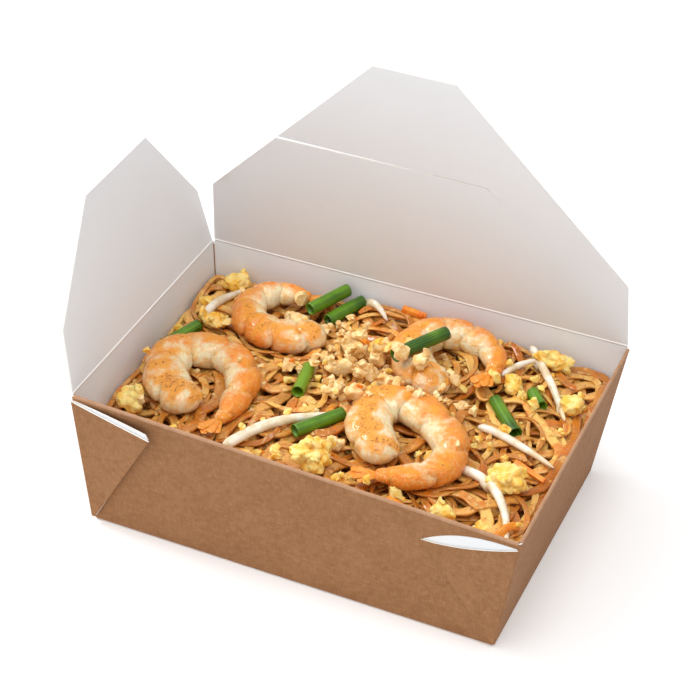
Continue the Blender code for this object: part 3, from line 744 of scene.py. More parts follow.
# %% [markdown]
# The two open flaps
#
# Each flap is a six-sided board that turns about its crease. The tall one has a slit near its top, which
# takes the other flap's tab when the box is shut. The slit starts at the left edge and ends in a small
# hook, and the board on its lower side stands a hair forward, so its cut edge catches the light.

# %% Flaps
BACK_FLAP = dict(
    side=36 * MM, reach=130.5 * MM, top=40 * MM, insets=(2.8 * MM, 2.8 * MM), lean=math.radians(-8.4)
)
LEFT_FLAP = dict(
    side=30.5 * MM, reach=77.5 * MM, top=60 * MM, insets=(4.4 * MM, 7.0 * MM), lean=math.radians(13.1)
)
FLAP_END_GAP = 1.3 * MM
SLIT_HEIGHT = 75.2 * MM
SLIT_WIDTH = 0.5 * MM
SLIT_END = 143 * MM
SLIT_HOOK = (8 * MM, 6.5 * MM)
LIP_LIFT = 0.45 * MM
LIP_REACH = 10 * MM


def flap_outline(length, shape, slit=False):
    """A flap's six-sided outline from its crease up, with the locking slit where there is one."""
    left = (length - shape["top"]) / 2
    inset, end_inset = shape["insets"]
    outline = [(FLAP_END_GAP, 0), (inset, shape["side"])]
    if slit:
        slope = (left - inset) / (shape["reach"] - shape["side"])
        low, high = SLIT_HEIGHT - SLIT_WIDTH / 2, SLIT_HEIGHT + SLIT_WIDTH / 2
        tip = (SLIT_END + SLIT_HOOK[0], SLIT_HEIGHT - SLIT_HOOK[1])
        outline.append((inset + slope * (low - shape["side"]), low))
        outline.append((SLIT_END, low))
        outline.append(tip)
        outline.append((SLIT_END + SLIT_WIDTH, high))
        outline.append((inset + slope * (high - shape["side"]), high))
    outline += [(left, shape["reach"]), (length - left, shape["reach"])]
    outline += [(length - end_inset, shape["side"]), (length - FLAP_END_GAP, 0)]
    return outline


def slit_lips(x, y):
    """The board's lift beside the slit: forward below it and back above it, most at its open end."""
    away = abs(y - SLIT_HEIGHT)
    share = max(0, 1 - x / SLIT_END)
    side = 1 if y < SLIT_HEIGHT else -1
    return side * LIP_LIFT * share * math.exp(-away / LIP_REACH)

# %% Set the flaps on their creases
def add_flap(name, body, start, end, shape, rise, slit=False):
    origin, along, down, outward = wall_axes(start, end)
    length = (rim_corner(*end) - origin).length
    level_out = Vector((outward.x, outward.y, 0)).normalized()
    crease = origin - outward * BOARD / 2 - down * rise
    upright = (UP - along * along.z).normalized()
    direction = (upright * math.cos(shape["lean"]) + level_out * math.sin(shape["lean"])).normalized()
    outline = flap_outline(length, shape, slit)
    mesh = board_mesh(name, outline, BOARD, 5 * MM, slit_lips if slit else None)
    put(mesh, axes(crease, along, direction, along.cross(direction)))
    piece = add_piece(name + "_board", mesh, WHITE, KRAFT, CUT_EDGE)
    settle_piece(piece, body, "white_board", name)
    return piece


add_flap("back_flap", "back_flap", (-1, 1), (1, 1), BACK_FLAP, CREASE_RISE + BACK_STEP, slit=True)
add_flap("left_flap", "left_flap", (-1, -1), (-1, 1), LEFT_FLAP, CREASE_RISE)

# %% [markdown]
# A map of the heap
#
# The noodles lie over and under each other and under the prawns, so where each one rests depends on what
# is already there. A map of heights on a grid of one millimetre keeps that: the level so far, and a
# ceiling where a prawn or another large topping lies above. Both start from the solid model, by casting
# rays down and up, so the dressed heap keeps the solid heap's form.

# %% Height map
CELL = 1 * MM
MAP_HALF = (109 * MM, 77 * MM)
MAP_X = np.arange(-MAP_HALF[0], MAP_HALF[0] + CELL / 2, CELL)
MAP_Y = np.arange(-MAP_HALF[1], MAP_HALF[1] + CELL / 2, CELL)
MAP_SHAPE = (len(MAP_X), len(MAP_Y))
LOW_CAST = 20 * MM
OPEN_SKY = 1.0
TOPPING_NODES = sorted(
    name for name in frame["nodes"] if name.split("_")[0] in ("prawn", "scallion", "egg", "peanut")
)

# %% Casting rays for the map
def tree_of(*pieces):
    """A search tree over one or more pieces that lie at the origin."""
    points, faces = [], []
    for piece in pieces:
        start = len(points)
        points += [point.co.copy() for point in piece.data.vertices]
        faces += [tuple(start + index for index in face.vertices) for face in piece.data.polygons]
    return BVHTree.FromPolygons(points, faces)


def seen_heights(tree, start_height, direction):
    """The height of the first surface met from above or below, over the whole map."""
    heights = np.full(MAP_SHAPE, np.nan)
    for i, x in enumerate(MAP_X):
        for j, y in enumerate(MAP_Y):
            hit = tree.ray_cast(Vector((x, y, start_height)), direction)
            if hit[0]:
                heights[i, j] = hit[0].z
    return heights


def blurred(field, reach):
    """A map smoothed by three running means."""
    width = 2 * int(round(reach / CELL)) + 1
    kernel = np.ones(width) / width
    padded = np.pad(field, width, mode="edge")
    for _ in range(3):
        for axis in (0, 1):
            padded = np.apply_along_axis(np.convolve, axis, padded, kernel, "same")
    return padded[width:-width, width:-width]


heap_top = seen_heights(tree_of(frame["nodes"]["noodle_heap"]), CAST_HEIGHT, DOWN)
heap_top[np.isnan(heap_top)] = np.nanmedian(heap_top)
goal = blurred(heap_top, 4 * MM)
toppings_tree = tree_of(*(frame["nodes"][name] for name in TOPPING_NODES))
ceiling = seen_heights(toppings_tree, LOW_CAST, UP)
ceiling[np.isnan(ceiling)] = OPEN_SKY
print("heap level, mm:", round(float(goal.min() / MM), 1), "to", round(float(goal.max() / MM), 1))

# %% [markdown]
# The heap's core
#
# Under the noodles that show lies more of the same, wet with sauce and in shadow. A closed block, a few
# millimetres under the heap's level, closes every gap between the strands. Its finish is dark and glossy,
# with an uneven top: the darkness is partly sauce and partly painted shade for the depth of the heap.

# %% Core
CORE_DEPTH = 7 * MM
CORE_WALL_GAP = 1.4 * MM
CORE_FOOT = 1.3 * MM
CORE_LEVEL = 50 * MM


def inner_half(height, base, rim, inset):
    """Half the space between two facing walls at a height, less an inset."""
    return base / 2 + (rim - base) / 2 * height / HEIGHT - BOARD - inset


def level_at(field, x, y):
    """A map's value at the nearest cell."""
    i = min(max(int(round((x + MAP_HALF[0]) / CELL)), 0), MAP_SHAPE[0] - 1)
    j = min(max(int(round((y + MAP_HALF[1]) / CELL)), 0), MAP_SHAPE[1] - 1)
    return float(field[i, j])


def core_mesh():
    shape = bmesh.new()
    bmesh.ops.create_grid(shape, x_segments=70, y_segments=48, size=1)
    border = [edge for edge in shape.edges if edge.is_boundary]
    skirt = bmesh.ops.extrude_edge_only(shape, edges=border)["geom"]
    lower = {point for point in skirt if isinstance(point, bmesh.types.BMVert)}
    for point in shape.verts:
        height = CORE_FOOT if point in lower else CORE_LEVEL
        x = point.co.x * inner_half(height, BASE_LENGTH, RIM_LENGTH, CORE_WALL_GAP)
        y = point.co.y * inner_half(height, BASE_WIDTH, RIM_WIDTH, CORE_WALL_GAP)
        if point not in lower:
            lump = noise.noise(Vector((x, y, 0)) / (6 * MM))
            height = level_at(goal, x, y) - CORE_DEPTH + 0.8 * MM * lump
        point.co = (x, y, height)
    bmesh.ops.contextual_create(shape, geom=[edge for edge in shape.edges if edge.is_boundary])
    bmesh.ops.recalc_face_normals(shape, faces=shape.faces)
    mesh = bpy.data.meshes.new("heap_core")
    shape.to_mesh(mesh)
    shape.free()
    mesh.shade_smooth()
    return mesh


def core_finish():
    material, tree = finish("core_sauce_and_painted_shade")
    lumps = tree.grain(220, detail=3)
    # Darker than the noodles: partly sauce, partly painted shade for the depth of the heap.
    colour = tree.mix(tree.ramp(lumps, 0.35, 0.65), (0.26, 0.070, 0.008), (0.58, 0.235, 0.040))
    close_finish(tree, Base_Color=colour, Roughness=0.4, Normal=tree.bump(lumps, 1.2 * MM, 0.8))
    return material


core = add_piece("heap_core", core_mesh(), core_finish())
settle_piece(core, "box", "rice_noodle", "noodle_heap")

# %% [markdown]
# Laying noodles one by one
#
# A noodle is soft but not limp: it curls as it falls, bridges small gaps and sags into wide ones. Each
# one here takes a walk with a changing bend, turns away from the walls and from places where the
# ceiling is too low, and rests on the map. Its level is then smoothed upwards, as a stiff strand would
# lie, and it raises the map for the next. Of several walks the one over the lowest ground is kept, so
# the heap fills up evenly.

# %% Walks over the map
STEP = 2 * MM
WALL_SPACE = 1.0 * MM
FOOD_LEVEL = 58 * MM
LOOK_AHEAD = 9 * MM
MOST_TURNED = 4.6  # radians
SWERVES = (0, 0.3, -0.3, 0.6, -0.6, 0.95, -0.95, 1.4, -1.4)
STIFF_PASSES = 7
level = np.minimum(goal - CORE_DEPTH, ceiling)


def cells(x, y):
    """Map indices of points."""
    i = np.clip(np.rint((np.asarray(x) + MAP_HALF[0]) / CELL).astype(int), 0, MAP_SHAPE[0] - 1)
    j = np.clip(np.rint((np.asarray(y) + MAP_HALF[1]) / CELL).astype(int), 0, MAP_SHAPE[1] - 1)
    return i, j


def inside(x, y, half_width):
    """Whether a strand of this half width fits between the walls at the heap's height."""
    reach = half_width + WALL_SPACE
    return (abs(x) < inner_half(FOOD_LEVEL, BASE_LENGTH, RIM_LENGTH, reach)
            and abs(y) < inner_half(FOOD_LEVEL, BASE_WIDTH, RIM_WIDTH, reach))


def free(x, y, half_width, thickness):
    """Whether a strand fits between the walls and under the ceiling at a point."""
    if not inside(x, y, half_width):
        return False
    i, j = cells(x + half_width * np.array((0, 1, -1, 0, 0)), y + half_width * np.array((0, 0, 0, 1, -1)))
    return bool(np.all(ceiling[i, j] - level[i, j] > thickness))

# %% One walk
def walk(rng, length, half_width, thickness, bend):
    """A wandering route in plan, as a list of x, y."""
    x = rng.uniform(-1, 1) * (MAP_HALF[0] - 6 * MM)
    y = rng.uniform(-1, 1) * (MAP_HALF[1] - 6 * MM)
    if not free(x, y, half_width, thickness):
        return []
    heading = rng.uniform(0, 2 * math.pi)
    phase, wave = rng.uniform(0, 2 * math.pi), rng.uniform(14, 34) * MM
    drift = rng.uniform(-0.32, 0.32) * bend
    route = [(x, y)]
    first_heading = heading
    for index in range(int(length / STEP)):
        heading += (drift + bend * math.sin(phase + index * STEP / wave)) * STEP
        look = (x + LOOK_AHEAD * math.cos(heading), y + LOOK_AHEAD * math.sin(heading))
        if not inside(*look, half_width):
            middle = math.atan2(-y, -x)
            heading += 0.22 * math.copysign(1, math.sin(middle - heading))
        for swerve in SWERVES:
            ahead = (x + STEP * math.cos(heading + swerve), y + STEP * math.sin(heading + swerve))
            if free(*ahead, half_width, thickness):
                break
        else:
            break
        heading += swerve
        if abs(heading - first_heading) > MOST_TURNED:
            break
        x, y = ahead
        route.append(ahead)
    return route


def smoothed_route(route, passes=2):
    """Rounds the corners of a route in plan."""
    path = np.array(route)
    for _ in range(passes):
        path[1:-1] = (path[:-2] + 2 * path[1:-1] + path[2:]) / 4
    return path

# %% Coming to rest
def rest(path, half_width, thickness, field, top=None, drape=STIFF_PASSES):
    """The strand's level along its path, resting on a map and stiff enough to bridge small gaps."""
    ahead = np.gradient(path, axis=0)
    ahead /= np.maximum(np.linalg.norm(ahead, axis=1, keepdims=True), 1e-9)
    side = np.stack((-ahead[:, 1], ahead[:, 0]), axis=1)
    offsets = np.array((-0.55, 0, 0.55)) * half_width
    spots = path[:, None, :] + side[:, None, :] * offsets[None, :, None]
    i, j = cells(spots[..., 0], spots[..., 1])
    support = field[i, j].max(axis=1) + thickness / 2
    lift = support.copy()
    for _ in range(drape):
        eased = lift.copy()
        eased[1:-1] = (lift[:-2] + lift[2:]) / 2
        lift = np.maximum(support, eased)
    for _ in range(drape // 6):
        lift[1:-1] = (lift[:-2] + 2 * lift[1:-1] + lift[2:]) / 4
    if top is not None:
        i, j = cells(path[:, 0], path[:, 1])
        lift = np.minimum(lift, top[i, j] - thickness / 2)
    return lift, side


def raise_map(field, path, lift, side, half_width, thickness):
    """Raises a map where a strand lies."""
    middles = np.concatenate((path, (path[1:] + path[:-1]) / 2))
    heights = np.concatenate((lift, (lift[1:] + lift[:-1]) / 2)) + thickness / 2
    sides = np.concatenate((side, side[1:]))
    for offset in np.arange(-0.85, 0.86, 0.34) * half_width:
        spots = middles + sides * offset
        i, j = cells(spots[:, 0], spots[:, 1])
        np.maximum.at(field, (i, j), heights)


# %% [markdown]
# From paths to strands
#
# Each strand is a chain of edges whose points carry their half width, tilt and shade as attributes.
# Geometry Nodes turn the chains into curves and sweep a profile along them: a flat rounded section
# for noodles, a round one for sprouts, a square one for carrot strips. Curves with their normal kept
# level make a ribbon lie flat, and the tilt then rolls it a little.

# %% Sweeping tree
def sweep_tree(name):
    """Geometry Nodes that sweep a rounded rectangle, 2 wide, along chains of edges."""
    inputs = {"Chains": "Geometry", "Section height": "Float", "Corner radius": "Float",
              "Corner points": "Int", "Finish": "Material"}
    group, tree, (chains, tall, radius, count, material) = node_group(name, inputs, "Strands")
    curve = tree.node("GeometryNodeMeshToCurve", None, {"Mesh": chains})
    curve = tree.node("GeometryNodeSetCurveNormal", {"mode": "Z_UP"}, {"Curve": curve})
    curve = tree.node("GeometryNodeSetCurveTilt", None, {"Curve": curve, "Tilt": tree.stored("tilt")})
    section = tree.node("GeometryNodeCurvePrimitiveQuadrilateral", None, {"Width": 2.0, "Height": tall})
    section = tree.node(
        "GeometryNodeFilletCurve", {"mode": "POLY"}, {0: section, "Count": count, "Radius": radius}
    )
    sideways = tree.node(
        "ShaderNodeSeparateXYZ", None, {0: tree.node("GeometryNodeInputPosition")}, "X"
    )
    section = tree.node(
        "GeometryNodeStoreNamedAttribute", {"data_type": "FLOAT", "domain": "POINT"},
        {"Geometry": section, "Name": "across", "Value": sideways},
    )
    swept = tree.node(
        "GeometryNodeCurveToMesh", None,
        {"Curve": curve, "Profile Curve": section, "Scale": tree.stored("half_width"), "Fill Caps": True},
    )
    swept = tree.node("GeometryNodeSetShadeSmooth", None, {"Geometry": swept, "Shade Smooth": True})
    swept = tree.node("GeometryNodeRealizeInstances", None, {"Geometry": swept})
    swept = tree.node("GeometryNodeSetMaterial", None, {"Geometry": swept, "Material": material})
    tree.node("NodeGroupOutput", None, {0: swept}, None)
    return group

# %% From strands to a piece
def chains_mesh(name, strands):
    """Chains of edges with their attributes, from strands of (points, half widths, tilts, shade, along)."""
    mesh = bpy.data.meshes.new(name)
    points, edges = [], []
    for route, *_ in strands:
        start = len(points)
        points += [tuple(point) for point in route]
        edges += [(start + index, start + index + 1) for index in range(len(route) - 1)]
    mesh.from_pydata(points, edges, [])
    for column, attribute in enumerate(("half_width", "tilt", "shade", "along"), 1):
        values = [np.broadcast_to(strand[column], len(strand[0])) for strand in strands]
        store(mesh, **{attribute: np.concatenate(values)})
    return mesh


def modified(piece, group, **inputs):
    """Runs a Geometry Nodes tree on a piece and returns the result as a plain mesh."""
    modifier = piece.modifiers.new("tree", "NODES")
    modifier.node_group = group
    names = {item.name: item.identifier for item in group.interface.items_tree if item.in_out == "INPUT"}
    for name, value in inputs.items():
        modifier[names[name.replace("_", " ")]] = value
    bpy.context.view_layer.update()
    graph = bpy.context.evaluated_depsgraph_get()
    made = bpy.data.meshes.new_from_object(piece.evaluated_get(graph))
    piece.modifiers.clear()
    return made


def swept_piece(name, strands, material, height, corner, count):
    """A piece of swept strands. Height and corner are shares of the half width."""
    piece = add_piece(name, chains_mesh(name, strands))
    piece.data = modified(
        piece, sweep_tree("sweep " + name), Section_height=height, Corner_radius=corner,
        Corner_points=count, Finish=material,
    )
    piece.data.name = name
    return piece


# %% [markdown]
# Cooked rice noodles
#
# Cooked rice noodles are translucent: pale where they are thick and lit, tan where sauce soaks in, and
# glossy with oil. Subsurface scattering gives the soft glow, a shade stored on every strand makes each
# one differ from its neighbours, and a coat gives the wet highlights.

# %% Noodle finish
def noodle_finish():
    material, tree = finish("cooked_rice_noodle")
    shade = tree.attribute("shade")
    along, across = tree.attribute("along"), tree.attribute("across")
    strand_place = tree.node("ShaderNodeCombineXYZ", None, {0: along * 45, 1: across * 1.3, 2: shade * 40})
    streak = tree.grain(1, detail=2, roughness=0.5, where=strand_place)
    stain = tree.grain(95, detail=3)
    fine = tree.grain(900, detail=2)
    tone = tree.ramp(0.50 * shade + 0.40 * stain + 0.34 * streak, 0.30, 0.90)
    colour = tree.mix(tone, (0.48, 0.142, 0.008), (0.93, 0.55, 0.145))
    sauce = tree.ramp(tree.grain(130, detail=3, distortion=0.6), 0.50, 0.68)
    colour = tree.mix(sauce * 0.8, colour, (0.64, 0.165, 0.006))
    specks = tree.ramp(tree.grain(520, detail=4, roughness=0.7), 0.56, 0.72)
    colour = tree.mix(specks * 0.7, colour, (0.30, 0.075, 0.004))
    pale = tree.ramp(tree.grain(260, detail=3, distortion=1.0), 0.56, 0.70)
    colour = tree.mix(pale * 0.5, colour, (0.96, 0.68, 0.30))
    relief = tree.bump(0.6 * streak + 0.5 * fine + specks, 0.4 * MM, 0.7)
    close_finish(tree, Base_Color=colour, Roughness=0.22 + 0.12 * fine, Normal=relief,
                 Specular_IOR_Level=0.25, Subsurface_Weight=0.35, Subsurface_Radius=(1.0, 0.45, 0.12),
                 Subsurface_Scale=2.2 * MM, Coat_Weight=0.6, Coat_Roughness=0.05)
    return material


NOODLE = noodle_finish()

# %% [markdown]
# The noodles themselves
#
# In the box some noodles are cut narrow and some wide, and all are torn and uneven from the wok. Width,
# length, bend and roll are drawn for each from one seeded generator, so every run lays the same heap.
# They are laid until the mean gap to the solid heap is small enough.

# %% Lay the noodles
NOODLE_SEED = 41
NOODLE_LAYERS = ("noodles_under", "noodles_middle", "noodles_over")
NOODLE_WIDTHS = (1.9 * MM, 5.6 * MM)
NARROW_BIAS = 1.5
NOODLE_LENGTHS = (45 * MM, 150 * MM)
NOODLE_BENDS = (40, 135)  # radians a metre
NOODLE_TRIES = 7
NOODLE_FLATNESS = 0.68
NOODLE_RAGGED = 0.24
MOST_NOODLES = 620
MEAN_DEFICIT = 0.35 * MM


def lay_noodles():
    """Lays noodles until the map reaches the heap's level, and returns them as strands."""
    rng = random.Random(NOODLE_SEED)
    strands = []
    uncovered = ceiling == OPEN_SKY
    for number in range(MOST_NOODLES):
        narrow, wide = NOODLE_WIDTHS
        half_width = (narrow + (wide - narrow) * rng.random() ** NARROW_BIAS) / 2
        thickness = half_width * NOODLE_FLATNESS
        length = rng.uniform(*NOODLE_LENGTHS)
        best, best_score = None, 0
        for _ in range(NOODLE_TRIES):
            route = walk(rng, length, half_width, thickness, rng.uniform(*NOODLE_BENDS))
            if len(route) < 9:
                continue
            i, j = cells(*np.array(route).T)
            score = float(np.mean(goal[i, j] - level[i, j]))
            if best is None or score > best_score:
                best, best_score = route, score
        if best is None:
            continue
        path = smoothed_route(best)
        lift, side = rest(path, half_width, thickness, level, ceiling)
        raise_map(level, path, lift, side, half_width, thickness)
        count = len(path)
        taper = np.minimum(1, 0.55 + np.minimum(np.arange(count), np.arange(count)[::-1]) / 5)
        ragged = [noise.noise(Vector((index * 0.55, number * 3.1, 0))) for index in range(count)]
        taper = taper * (1 + NOODLE_RAGGED * np.array(ragged))
        roll = rng.uniform(0, 0.55) * np.sin(np.arange(count) * STEP / (rng.uniform(7, 16) * MM)
                                             + rng.uniform(0, 6))
        along = np.arange(count) * STEP
        route = np.column_stack((path, lift))
        strands.append((route, half_width * taper, roll, rng.random(), along))
        if number % 20 == 0 and float(np.mean((goal - level)[uncovered])) < MEAN_DEFICIT:
            break
    return strands


strands = lay_noodles()
print(len(strands), "noodles laid; mean gap to the solid heap, mm:",
      round(float(np.mean((goal - level)[ceiling == OPEN_SKY])) / MM, 2))
for index, name in enumerate(NOODLE_LAYERS):
    first, last = (len(strands) * number // len(NOODLE_LAYERS) for number in (index, index + 1))
    noodles = swept_piece(name, strands[first:last], NOODLE, NOODLE_FLATNESS, 0.31, 3)
    settle_piece(noodles, "box", "rice_noodle", "noodle_heap")

# %% [markdown]
# Prawns
#
# A peeled prawn keeps six ringed segments and its tail fan. Cooked, the flesh is cream with coral bands
# where the shell sat, darkest along the back, and the pan leaves brown spots. Each is a loft of
# rings along the curled spine of its solid, with a crease between segments, and the band colours are
# stored on the points, because they follow the segments and not the space around.

# %% Prawn shape
PRAWNS = {
    "prawn_left": dict(
        spine=[(-63, -31), (-73, -36), (-85, -25), (-88, -8), (-77, 1), (-62, 0), (-51, -13),
               (-48, -28), (-48, -41), (-52, -52)],
        width=9.0, thickness=7.0,
    ),
    "prawn_front": dict(
        spine=[(36, -35), (26, -36), (16, -23), (17, -8), (28, -3), (44, -10), (56, -23), (57, -40),
               (46, -51), (35, -55), (25, -59)],
        width=9.0, thickness=7.2,
    ),
    "prawn_right": dict(
        spine=[(39, 21), (27, 21), (15, 32), (13, 46), (20, 57), (33, 60), (47, 54), (53, 42), (49, 31)],
        width=8.4, thickness=7.0,
    ),
    "prawn_back": dict(
        spine=[(-33, 40), (-40, 30), (-54, 26), (-67, 31), (-72, 44), (-66, 56), (-54, 61), (-43, 61)],
        width=8.0, thickness=6.5,
    ),
}
PRAWN_RINGS = 170
PRAWN_SIDES = 44
# A ring turns with the spine this many rings on both sides of it, so that rings don't cross in a bend
TURN_REACH = 11
BODY_END = 0.93
PRAWN_PROFILE = np.array([
    (0.000, 0.06, 0.06), (0.006, 0.36, 0.34), (0.02, 0.64, 0.58), (0.05, 0.93, 0.82), (0.12, 1.12, 1.00),
    (0.30, 1.10, 1.00), (0.50, 0.98, 0.96), (0.68, 0.84, 0.86), (0.80, 0.66, 0.70), (0.88, 0.46, 0.48),
    (0.92, 0.34, 0.32), (0.93, 0.06, 0.06),
])
SEGMENT_ENDS = (0.02, 0.15, 0.27, 0.39, 0.51, 0.63, 0.75, 0.88)
CREASE_REACH = 0.0055
CREASE_DEPTH = 0.19
SEGMENT_SWELL = 0.11
# Each leaf of the tail fan: turn, reach and lift
TAIL_LOBES = (
    (-0.40, 0.86, -0.5), (-0.20, 1.0, 0.5), (0.0, 1.06, -0.1), (0.22, 0.98, 0.8), (0.42, 0.84, 0.0),
)
LOBE_LENGTH = 14 * MM
LOBE_HALF = (1.7 * MM, 0.5 * MM)

# %% Along the body
def spline_points(points, count):
    """Evenly shared points of a smooth curve through the points."""
    points = [Vector(point) for point in points]
    placed = []
    for step in range(count):
        place = step / (count - 1) * (len(points) - 1)
        index = min(int(place), len(points) - 2)
        t = place - index
        before = points[index - 1] if index else points[0] * 2 - points[1]
        after = points[index + 2] if index + 2 < len(points) else points[-1] * 2 - points[-2]
        a, b = points[index], points[index + 1]
        placed.append(0.5 * (
            2 * a + (b - before) * t + (2 * before - 5 * a + 4 * b - after) * t**2
            + (3 * a - before - 3 * b + after) * t**3
        ))
    return placed


def smooth_step(value, low, high):
    share = min(max((value - low) / (high - low), 0), 1)
    return share * share * (3 - 2 * share)


def segment_place(share):
    """How far a share of the body is along its segment, and its distance from the nearest crease."""
    for start, end in zip(SEGMENT_ENDS, SEGMENT_ENDS[1:]):
        if share < end:
            return max(0, (share - start) / (end - start)), min(abs(share - start), end - share)
    return 1, abs(share - SEGMENT_ENDS[-1])


def skin_tubes(rings_of_points):
    """Faces over one tube of rings, each ring with the same number of points, closed at both ends."""
    count, sides = len(rings_of_points), len(rings_of_points[0])
    faces = []
    for ring in range(count - 1):
        for side in range(sides):
            a, b = ring * sides + side, ring * sides + (side + 1) % sides
            faces.append((a, b, b + sides, a + sides))
    last = (count - 1) * sides
    return faces + [tuple(range(sides))[::-1], tuple(range(last, last + sides))]

# %% [markdown]
# One ring of flesh at a time
#
# Every ring is an oval across the spine, swollen in the middle of its segment and pinched at the crease.
# Small noise keeps the flesh from looking cast. While the ring is made, it is known how far along its
# segment and how near the back each point is, so the coral and the sear are worked out there too.

# %% The rings of a body
def prawn_rings(name, prawn, seed):
    """The body's rings and the coral and sear of each point. Angle 0 is inside the curl, pi the back."""
    box_low, box_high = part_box(name)
    lift = (box_low.z + box_high.z) / 2
    centres = spline_points([(x * MM, y * MM, 0) for x, y in prawn["spine"]], PRAWN_RINGS)
    area = sum(a.x * b.y - b.x * a.y for a, b in zip(centres, centres[1:] + centres[:1]))
    curl = 1 if area > 0 else -1
    shift = Vector((seed, seed * 0.7, 0))
    rings, coral, sear = [], [], []
    for index, centre in enumerate(centres):
        share = index / (PRAWN_RINGS - 1)
        if share > BODY_END:
            break
        onward = centres[min(index + TURN_REACH, PRAWN_RINGS - 1)]
        ahead = (onward - centres[max(index - TURN_REACH, 0)]).normalized()
        inward = UP.cross(ahead).normalized() * curl
        half_x = np.interp(share, PRAWN_PROFILE[:, 0], PRAWN_PROFILE[:, 1]) * prawn["width"] * MM
        half_y = np.interp(share, PRAWN_PROFILE[:, 0], PRAWN_PROFILE[:, 2]) * prawn["thickness"] * MM
        ring = []
        for side in range(PRAWN_SIDES):
            angle = 2 * math.pi * side / PRAWN_SIDES
            back = (1 - math.cos(angle)) / 2
            along, crease = segment_place(share + 0.016 * math.cos(2 * angle) * min(1, share * 8))
            fold = math.exp(-((crease / CREASE_REACH) ** 2)) * (0.6 + 0.4 * back)
            swell = 1 + SEGMENT_SWELL * math.sin(math.pi * min(along, 1)) - CREASE_DEPTH * fold
            reach = inward * math.cos(angle) * half_x + UP * math.sin(angle) * half_y
            place = centre + reach * swell + shift
            flesh = 0.040 * noise.noise(place / (3.4 * MM)) + 0.016 * noise.noise(place / (1.3 * MM))
            point = centre + reach * (swell + flesh)
            point.z += lift
            ring.append(point)
            patch = noise.noise(place / (7 * MM)) + 0.5 * noise.noise(place / (2.6 * MM))
            band = smooth_step(along, 0.0, 0.5) * (1 - 0.4 * smooth_step(along, 0.75, 1))
            value = smooth_step(back + 0.24 * patch, -0.05, 0.90) * (0.62 + 0.60 * band) * (1 + 0.4 * patch)
            value *= 0.30 + 0.70 * smooth_step(share, 0.16, 0.40)
            tail = smooth_step(share, 0.74, 0.92)
            coral.append(min(max(value * smooth_step(share, 0.0, 0.16) + 0.45 * tail, 0.05), 1))
            top = math.exp(-(((angle - 0.60 * math.pi) / 0.80) ** 2))
            scorched = top * (1.30 - 0.70 * smooth_step(share, 0.20, 0.6))
            sear.append(min(max(scorched * (0.68 + 1.3 * noise.noise(place / (5 * MM) + UP)), 0), 1))
        rings.append(ring)
    return rings, coral, sear, centres, lift

# %% [markdown]
# The tail fan
#
# The shell is left on the tail, as a fan of thin leaves that are narrow at the root. Each leaf is a short
# loft of ribbed ovals, and five of them spread from one root make the fan.

# %% The tail fan
def lobe_rings(root, ahead, turn, reach, rise):
    """One leaf of the tail fan: narrow at its root, broad and thin further out."""
    direction = Matrix.Rotation(turn, 3, UP) @ ahead
    side = UP.cross(direction)
    rings = []
    for index in range(15):
        share = index / 14
        tip = 1 if share < 0.9 else 1.25 - 10 * (share - 0.9) ** 1.05
        wide = max(LOBE_HALF[0] * (0.55 + 0.6 * share) * tip, 0.2 * MM)
        thin = LOBE_HALF[1] * (1.2 - 0.6 * share)
        centre = root + direction * (LOBE_LENGTH * reach * share) + UP * (rise * 1.2 * MM * share)
        ring = []
        for step in range(16):
            angle = 2 * math.pi * step / 16
            ridge = 1 + 0.35 * math.cos(5 * angle)
            ring.append(centre + side * math.cos(angle) * wide + UP * math.sin(angle) * thin * ridge)
        rings.append(ring)
    return rings


def prawn_mesh(name, prawn, seed):
    rings, coral, sear, centres, lift = prawn_rings(name, prawn, seed)
    points = [point for ring in rings for point in ring]
    faces = skin_tubes(rings)
    tail = int(0.90 * (PRAWN_RINGS - 1))
    ahead = (centres[tail + 2] - centres[tail - 2]).normalized()
    root = centres[tail] + UP * lift
    for turn, reach, rise in TAIL_LOBES:
        start = len(points)
        lobe = lobe_rings(root, ahead, turn, reach, rise)
        points += [point for ring in lobe for point in ring]
        faces += [tuple(start + index for index in face) for face in skin_tubes(lobe)]
        coral += [1.0] * (len(points) - start)
        sear += [0.35] * (len(points) - start)
    mesh = mesh_from(name, points, faces)
    store(mesh, coral=coral, sear=sear)
    faced_out(mesh)
    mesh.shade_smooth()
    return mesh

# %% [markdown]
# Cooked prawn flesh
#
# Cooked flesh is a little clear and glows warm where light passes through it, so it needs subsurface
# scattering. Over the cream lie glaze, coral, scorch marks from the pan and small dark specks, in the
# order in which they come about, each mixed in where its own noise or stored value is high.

